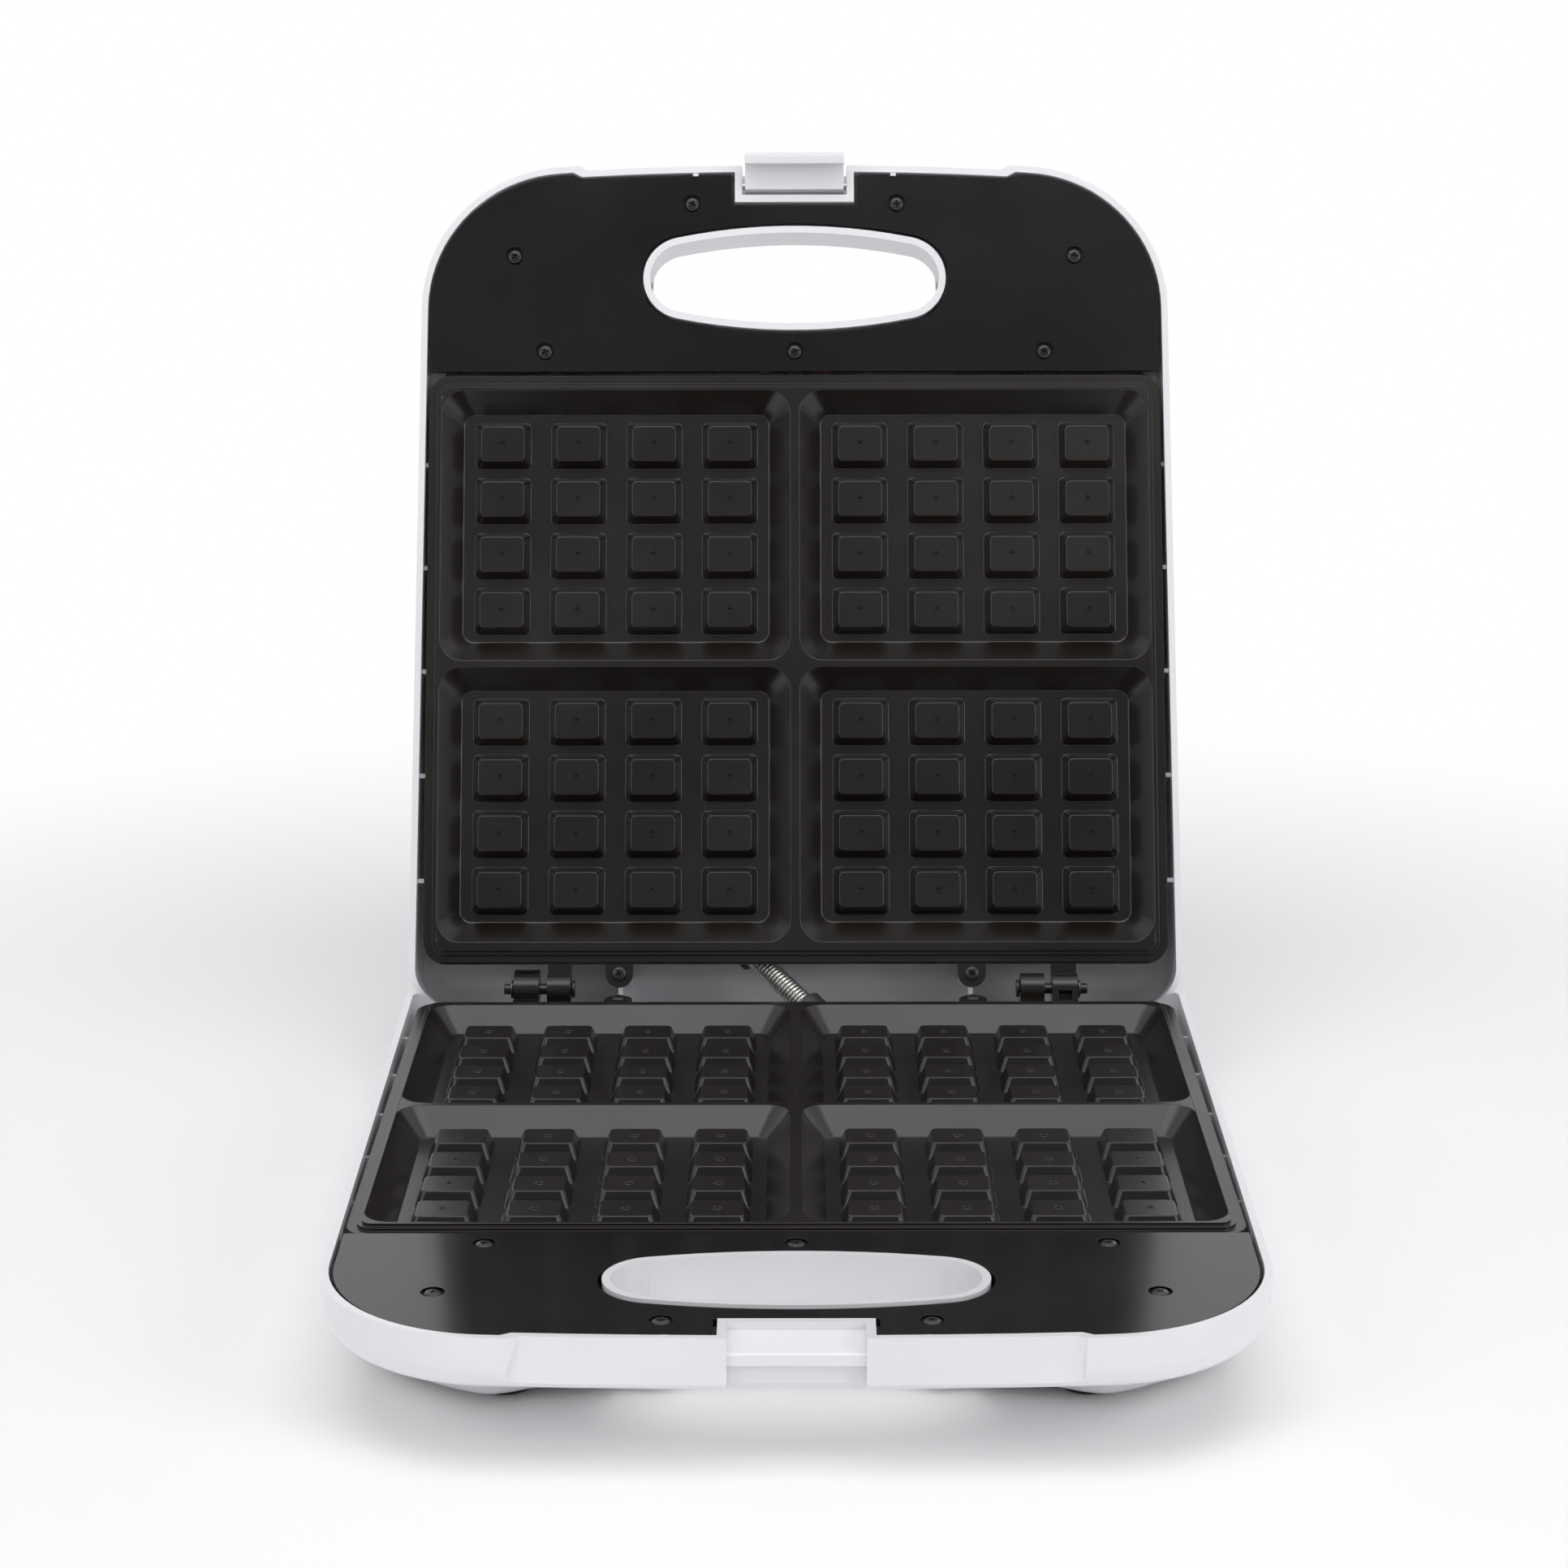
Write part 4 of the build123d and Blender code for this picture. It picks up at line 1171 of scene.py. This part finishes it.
@dataclass
class Conduit:
    """The close-wound spring that carries the wires over the hinge, in the hinge's frame.

    Args:
        base_end: where it enters the base's clamp.
        lid_end: where it enters the lid's clamp.
        radius: radius of the spring at the middle of its wire.
        wire: radius of the wire.
        wire_facets: facets around the wire.
        pitch: distance from turn to turn.
        steps: facets in a turn.
        shade: least angle in degrees that shades as an edge.
    """

    base_end: tuple = (7.2 * MM, -3.0 * MM, -8.85 * MM)
    lid_end: tuple = (-18.7 * MM, 19.1 * MM, 9.7 * MM)
    radius: float = 3.72 * MM
    wire: float = 0.55 * MM
    wire_facets: int = 10
    pitch: float = 1.5 * MM
    steps: int = 30
    shade: float = 60.0

    def build(self, machine: Machine) -> bpy.types.Object:
        """Wind the spring and lay it between the two clamps.

        Args:
            machine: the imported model.

        Returns:
            The spring.
        """
        hinge = machine.place(Half.BASE)
        start, end = hinge @ Vector(self.base_end), hinge @ Vector(self.lid_end)
        along = (end - start).normalized()
        reach = (end - start).length - 2 * self.wire
        start_clean()
        bpy.ops.mesh.primitive_circle_add(vertices=self.wire_facets, radius=self.wire,
                                          location=(self.radius, 0, 0), rotation=(math.pi / 2, 0, 0))
        coil = bpy.context.object
        bpy.ops.object.transform_apply(location=True, rotation=True, scale=True)
        winding = coil.modifiers.new("winding", "SCREW")
        winding.axis = "Z"
        winding.iterations = int(reach / self.pitch)
        winding.screw_offset = reach / winding.iterations
        winding.steps = self.steps
        winding.render_steps = self.steps
        winding.use_normal_calculate = True
        apply_all(coil)
        edit(coil, "EDGE")
        bpy.ops.mesh.select_non_manifold()
        bpy.ops.mesh.fill()
        bpy.ops.mesh.select_all(action="SELECT")
        bpy.ops.mesh.normals_make_consistent(inside=False)
        done()
        smooth(coil, self.shade)
        turn = along.to_track_quat("Z", "Y").to_matrix().to_4x4()
        move_mesh(coil, Matrix.Translation(start + along * self.wire) @ turn)
        coil.name = "wound_conduit"
        coil.data.materials.append(WIRE.material())
        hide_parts("wire_conduit")
        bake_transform(coil)
        LOG.info("%s: %d faces", coil.name, len(coil.data.polygons))
        return coil


@dataclass
class Housing:
    """Shells, panels, latch, feet and the small parts that keep their CAD form.

    Args:
        edge: rounding of the shells' edges.
        wall: thickness of the shells' walls.
        far: a reach beyond the front.
        slack: how far a point may lie off a surface and still count as on it.
        step_x: distance of the step beside the grip from the middle.
        step_y: Y of the front behind the step.
        step_in: how far behind the outer step the wall's inner step lies.
        step_run: how far the step is drawn out to each side.
        step_band: how far inside and outside of the step its points lie.
        panel_step: X and Y of the step in the panel.
        panel_edge: rounding of the panels' edges.
        grip_floor: height of the grip's underside.
        deep_corner: X and Y of the centre of the deep body's corner, and its radius.
        deep_middle: Y of the deep body's front in the middle.
        lobe: radius of the lobes beside the oval.
        oval: half length, centre Y and half width of the oval with its walls.
        foot: X, Y, reach and height of the front foot's boss, which stays in its place.
        corner_pull: where in X the pull of the corners starts and is full, and how much it is.
        lobe_pull: the same for the lobes. These three are in millimetres.
        pull_across: where in X the pull starts and is full.
        pull_along: the same in Y.
        nub_at: X, Y and Z of the nub beside the latch.
        nub: its size along X, Y and Z.
        nub_taper: width of its top as a share of its foot.
        nub_edge: rounding of its edges.
        clamp_edge: rounding of the conduit's clamps.
    """

    edge: float = 0.45 * MM
    wall: float = 2.4 * MM
    far: float = 400 * MM
    slack: float = 0.1 * MM
    step_x: float = 81.5 * MM
    step_y: float = -316.79 * MM
    step_in: float = 2.52 * MM
    step_run: float = 1.7 * MM
    step_band: tuple = (-0.06 * MM, 0.12 * MM)
    panel_step: tuple = (85.2 * MM, -312.91 * MM)
    panel_edge: float = 0.35 * MM
    grip_floor: float = -16.05 * MM
    deep_corner: tuple = (73.47 * MM, -212.0 * MM, 70.0 * MM)
    deep_middle: float = -253.0 * MM
    lobe: float = 35.0 * MM
    oval: tuple = (60.0 * MM, -274.2 * MM, 24.0 * MM)
    foot: tuple = (90.0 * MM, -250.0 * MM, 11.3 * MM, -41.9 * MM)
    corner_pull: tuple = (132, 112, 3.5)
    lobe_pull: tuple = (97, 74, 9.5)
    pull_across: tuple = (42, 60)
    pull_along: tuple = (-236, -262)
    nub_at: tuple = (38.2 * MM, -315.6 * MM, -1.9 * MM)
    nub: tuple = (2.6 * MM, 1.9 * MM, 2.4 * MM)
    nub_taper: float = 0.8
    nub_edge: float = 0.25 * MM
    clamp_edge: float = 0.3 * MM

    def _shell(self, machine: Machine, half: Half) -> None:
        """A shell with the side of its grip step drawn out to a slope.

        Args:
            machine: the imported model.
            half: base or lid.
        """
        name = f"{half.value}_shell"
        piece = machine.opened(name, half)
        self._soften_step(piece, self.step_x, self.step_y)
        self._soften_step(piece, self.step_x + self.wall, self.step_y + self.step_in)
        self._draw_back(piece)
        round_edges(piece, self.edge)
        machine.stand_in(piece, name, half)
        finish_piece(piece, WHITE, half.body)

    def _soften_step(self, piece: bpy.types.Object, step_x: float, step_y: float) -> None:
        """Draw the square step beside the grip out to a slope.

        Args:
            piece: the moulding, in the half's frame.
            step_x: distance of the step from the middle.
            step_y: the Y of the surface behind the step.
        """
        least, most = self.step_band
        ahead, behind = step_y - self.slack, step_y + self.slack
        for side in (-1, 1):
            for push, front, back in ((1, -self.far, ahead), (-1, ahead, behind)):
                choose(piece, "VERT", lambda at, side=side, front=front, back=back: (
                    least < at.x * side - step_x < most and front < at.y < back))
                bpy.ops.transform.translate(value=(side * push * self.step_run, 0, 0))
                done()

    def _lobe_front(self, x: float) -> float:
        """Front of the deep body in plan, as the solid has it.

        Args:
            x: distance from the middle.

        Returns:
            The Y of its front there.
        """
        corner_x, corner_y, corner_r = self.deep_corner
        reach = corner_y - corner_r
        fall = reach - self.deep_middle
        run = math.sqrt(self.lobe ** 2 - (self.lobe + fall / 2) ** 2)
        if x > corner_x:
            return corner_y - math.sqrt(max(0.0, corner_r ** 2 - (x - corner_x) ** 2))
        if x > corner_x - run:
            return reach + self.lobe - math.sqrt(self.lobe ** 2 - (corner_x - x) ** 2)
        inner = corner_x - 2 * run
        if x > inner:
            return self.deep_middle - self.lobe + math.sqrt(self.lobe ** 2 - (x - inner) ** 2)
        return self.deep_middle

    def _draw_back(self, piece: bpy.types.Object) -> None:
        """Draw the deep body back behind the grip, so that only its corners show under the front.

        Args:
            piece: the moulding, in the half's frame.
        """
        half_length, middle, half_width = self.oval
        choose(piece, "FACE", lambda face: abs(face.normal.z) < UPRIGHT and abs(face.center.x) < half_length
               and abs(face.center.y - middle) < half_width)
        bpy.ops.mesh.bisect(plane_co=(0, 0, self.grip_floor + self.slack), plane_no=(0, 0, 1))
        done()
        foot_x, foot_y, foot_reach, foot_top = self.foot
        for point in piece.data.vertices:
            at = point.co
            x = abs(at.x)
            on_foot = at.z < foot_top and math.hypot(x - foot_x, at.y - foot_y) < foot_reach
            on_front = at.z < self.grip_floor and at.y > self._lobe_front(x) - 1.5 * self.slack
            if on_front and not on_foot:
                pulls = (self.corner_pull, self.lobe_pull)
                pull = sum(self._ease(x, start, end) * most for start, end, most in pulls)
                at.y += pull * MM * self._ease(x, *self.pull_across) * self._ease(at.y, *self.pull_along)

    @staticmethod
    def _ease(value: float, start: float, end: float) -> float:
        """Smooth change from 0 at a start to 1 at an end.

        Args:
            value: the value, in metres.
            start: where the change starts, in millimetres.
            end: where it is full, in millimetres.

        Returns:
            A share from 0 to 1.
        """
        share = min(1.0, max(0.0, (value / MM - start) / (end - start)))
        return share * share * (3 - 2 * share)

    def _panel(self, machine: Machine, half: Half) -> None:
        """A front panel that follows the softened step of its shell.

        Args:
            machine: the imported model.
            half: base or lid.
        """
        name = f"{half.value}_front_panel"
        panel = machine.opened(name, half)
        self._soften_step(panel, *self.panel_step)
        round_edges(panel, self.panel_edge)
        machine.stand_in(panel, name, half)
        finish_piece(panel, BLACK, half.body)

    def _nubs(self, machine: Machine, half: Half) -> None:
        """Two small ribs between the rim and the panel, left and right of the latch.

        Args:
            machine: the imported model.
            half: base or lid.
        """
        pair = []
        x, y, z = self.nub_at
        for side in (-1, 1):
            start_clean()
            bpy.ops.mesh.primitive_cube_add(size=1, location=(side * x, y, z))
            nub = bpy.context.object
            nub.scale = self.nub
            bpy.ops.object.transform_apply(location=True, rotation=True, scale=True)
            choose(nub, "FACE", lambda face: face.normal.z > FACING)
            bpy.ops.transform.resize(value=(self.nub_taper, 1, 1), center_override=(side * x, y, 0))
            done()
            round_edges(nub, self.nub_edge)
            pair.append(nub)
        nubs = joined(pair, f"{half.value}_rim_nubs")
        move_mesh(nubs, machine.place(half))
        finish_piece(nubs, WHITE, half.body)

    def build(self, machine: Machine) -> None:
        """Dress the mouldings and the inner parts.

        Args:
            machine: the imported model.
        """
        for half in Half:
            self._shell(machine, half)
            self._nubs(machine, half)
            self._panel(machine, half)
            for name, finish in PLAIN_PAIRS:
                machine.dress(f"{half.value}_{name}", finish)
            machine.softened(f"{half.value}_conduit_clamp", half.body, BLACK_NYLON, self.clamp_edge)
        for name, body, finish, radius in ROUNDED_PARTS:
            machine.softened(name, body, finish, radius)
        for name, finish in PLAIN_PARTS:
            machine.dress(name, finish)


@dataclass(frozen=True)
class Lamp:
    """One soft lamp.

    Args:
        name: its name.
        place: where it hangs.
        size: width and length.
        power: watts.
    """

    name: str
    place: tuple[float, float, float]
    size: tuple[float, float]
    power: float


@dataclass
class Studio:
    """Floor, soft lamps, pale surroundings and the camera.

    Args:
        camera_at: the camera's place, from the hinge.
        roll: its roll in degrees.
        down: how far it looks down, in degrees.
        yaw: how far it looks to the side, in degrees.
        lens: focal length in millimetres on a film of the width below.
        film: width of the film in millimetres.
        sight: how far the camera sees, in metres.
        floor_size: side of the floor.
        floor_level: grey level of the floor.
        floor_rough: its roughness.
        fade: where the floor starts to fade to white, and where it is white.
        room_colour: colour of the surroundings.
        room_light: strength of their light on matt surfaces.
        room_sides: Y of a direction at the dim front and at the white rear.
        room_levels: strength of their reflection there.
        aim: what the lamps point at.
        lamps: the lamps.
    """

    camera_at: tuple = (-0.575 * MM, -1231.685 * MM, 406.27 * MM)
    roll: float = 0.168
    down: float = 14.847
    yaw: float = -0.126
    lens: float = 79.0
    film: float = 36.0
    sight: float = 200.0
    floor_size: float = 80.0
    floor_level: float = 0.97
    floor_rough: float = 0.9
    fade: tuple = (0.3, 0.75)
    room_colour: tuple = (0.98, 0.982, 1.0, 1)
    room_light: float = 0.55
    room_sides: tuple = (-0.8, 0.2)
    room_levels: tuple = (0.2, 1.0)
    aim: tuple = (0, 0, 0.12)
    lamps: tuple = (
        Lamp("overhead", (0.0, -0.65, 1.75), (1.5, 1.0), 11.5),
        Lamp("left_front", (-1.3, -1.2, 1.1), (0.9, 0.9), 5.5),
        Lamp("right_front", (1.4, -1.1, 0.9), (0.9, 0.9), 7.5),
    )

    @staticmethod
    def _maths(tree: bpy.types.NodeTree, operation: str) -> bpy.types.Node:
        """Add a math node of one operation."""
        node = tree.nodes.new("ShaderNodeMath")
        node.operation = operation
        return node

    @staticmethod
    def _soft_range(tree: bpy.types.NodeTree, ends: tuple, levels: tuple = (0.0, 1.0)) -> bpy.types.Node:
        """Add a Map Range node with soft ends.

        Args:
            tree: the node tree.
            ends: least and most of the value.
            levels: results there.

        Returns:
            The node.
        """
        node = tree.nodes.new("ShaderNodeMapRange")
        node.interpolation_type = "SMOOTHSTEP"
        for name, number in zip(("From Min", "From Max", "To Min", "To Max"), (*ends, *levels)):
            node.inputs[name].default_value = number
        return node

    def _floor(self) -> None:
        """A wide pale floor that keeps the shadow and fades to white away from the machine."""
        start_clean()
        bpy.ops.mesh.primitive_plane_add(size=self.floor_size, location=(0, 0, 0))
        floor = bpy.context.object
        floor.name = "floor"
        sheet = bpy.data.materials.new("pale floor")
        sheet.use_nodes = True
        tree = sheet.node_tree
        shader = tree.nodes["Principled BSDF"]
        shader.inputs["Base Color"].default_value = (*[self.floor_level] * 3, 1)
        shader.inputs["Roughness"].default_value = self.floor_rough
        shader.inputs["Specular IOR Level"].default_value = 0.0
        white = tree.nodes.new("ShaderNodeEmission")
        white.inputs["Color"].default_value = (1, 1, 1, 1)
        place = tree.nodes.new("ShaderNodeTexCoord")
        far = tree.nodes.new("ShaderNodeVectorMath")
        far.operation = "LENGTH"
        fade = self._soft_range(tree, self.fade)
        rays = tree.nodes.new("ShaderNodeLightPath")
        seen = self._maths(tree, "MAXIMUM")
        share = self._maths(tree, "MULTIPLY")
        mix = tree.nodes.new("ShaderNodeMixShader")
        join_sockets(
            tree,
            (place.outputs["Object"], far.inputs[0]),
            (far.outputs["Value"], fade.inputs["Value"]),
            (rays.outputs["Is Camera Ray"], seen.inputs[0]),
            (rays.outputs["Is Transmission Ray"], seen.inputs[1]),
            (fade.outputs["Result"], share.inputs[0]),
            (seen.outputs[0], share.inputs[1]),
            (share.outputs[0], mix.inputs[0]),
            (shader.outputs[0], mix.inputs[1]),
            (white.outputs[0], mix.inputs[2]),
            (mix.outputs[0], tree.nodes["Material Output"].inputs["Surface"]),
        )
        floor.data.materials.append(sheet)

    def _surroundings(self) -> None:
        """A studio that is white behind and beside the machine and dim in front of it."""
        world = bpy.data.worlds.new("studio")
        bpy.context.scene.world = world
        world.use_nodes = True
        tree = world.node_tree
        light = tree.nodes["Background"]
        light.inputs["Color"].default_value = self.room_colour
        place = tree.nodes.new("ShaderNodeTexCoord")
        parts = tree.nodes.new("ShaderNodeSeparateXYZ")
        level = self._soft_range(tree, self.room_sides, self.room_levels)
        rays = tree.nodes.new("ShaderNodeLightPath")
        power = tree.nodes.new("ShaderNodeMapRange")
        power.inputs["To Min"].default_value = self.room_light
        white = tree.nodes.new("ShaderNodeBackground")
        white.inputs["Color"].default_value = (1, 1, 1, 1)
        white.inputs["Strength"].default_value = 1.0
        mix = tree.nodes.new("ShaderNodeMixShader")
        join_sockets(
            tree,
            (place.outputs["Generated"], parts.inputs[0]),
            (parts.outputs["Y"], level.inputs["Value"]),
            (rays.outputs["Is Glossy Ray"], power.inputs["Value"]),
            (level.outputs["Result"], power.inputs["To Max"]),
            (power.outputs[0], light.inputs["Strength"]),
            (rays.outputs["Is Camera Ray"], mix.inputs[0]),
            (light.outputs[0], mix.inputs[1]),
            (white.outputs[0], mix.inputs[2]),
            (mix.outputs[0], tree.nodes["World Output"].inputs["Surface"]),
        )

    def _hang(self, lamp: Lamp) -> None:
        """Hang one lamp aimed at the machine.

        Args:
            lamp: the lamp.
        """
        data = bpy.data.lights.new(lamp.name, "AREA")
        data.shape = "RECTANGLE"
        data.size, data.size_y = lamp.size
        data.energy = lamp.power
        hung = bpy.data.objects.new(lamp.name, data)
        hung.location = lamp.place
        sight = Vector(self.aim) - Vector(lamp.place)
        hung.rotation_euler = sight.to_track_quat("-Z", "Y").to_euler()
        bpy.context.scene.collection.objects.link(hung)

    def _camera(self, machine: Machine) -> None:
        """The photograph's camera, placed from the hinge.

        Args:
            machine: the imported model.
        """
        data = bpy.data.cameras.new("camera")
        data.lens = self.lens
        data.sensor_width = self.film
        data.clip_end = self.sight
        camera = bpy.data.objects.new("camera", data)
        turn = (Matrix.Rotation(math.radians(self.roll), 4, "Z")
                @ Matrix.Rotation(math.radians(90 - self.down), 4, "X")
                @ Matrix.Rotation(math.radians(self.yaw), 4, "Z"))
        camera.matrix_world = machine.place(Half.BASE) @ Matrix.Translation(self.camera_at) @ turn
        bpy.context.scene.collection.objects.link(camera)
        bpy.context.scene.camera = camera

    def build(self, machine: Machine) -> None:
        """Set up the stage.

        Args:
            machine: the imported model.
        """
        bpy.context.scene.view_settings.view_transform = "Standard"
        self._floor()
        self._surroundings()
        for lamp in self.lamps:
            self._hang(lamp)
        self._camera(machine)


def main() -> None:
    """Build every sub-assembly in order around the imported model."""
    logging.basicConfig(level=logging.INFO, format="%(message)s")
    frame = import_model()
    machine = Machine(frame)
    Studio().build(machine)
    Housing().build(machine)
    Plate().build(machine)
    Screws().build(machine)
    Conduit().build(machine)
    start_clean()


if __name__ == "__main__":
    main()
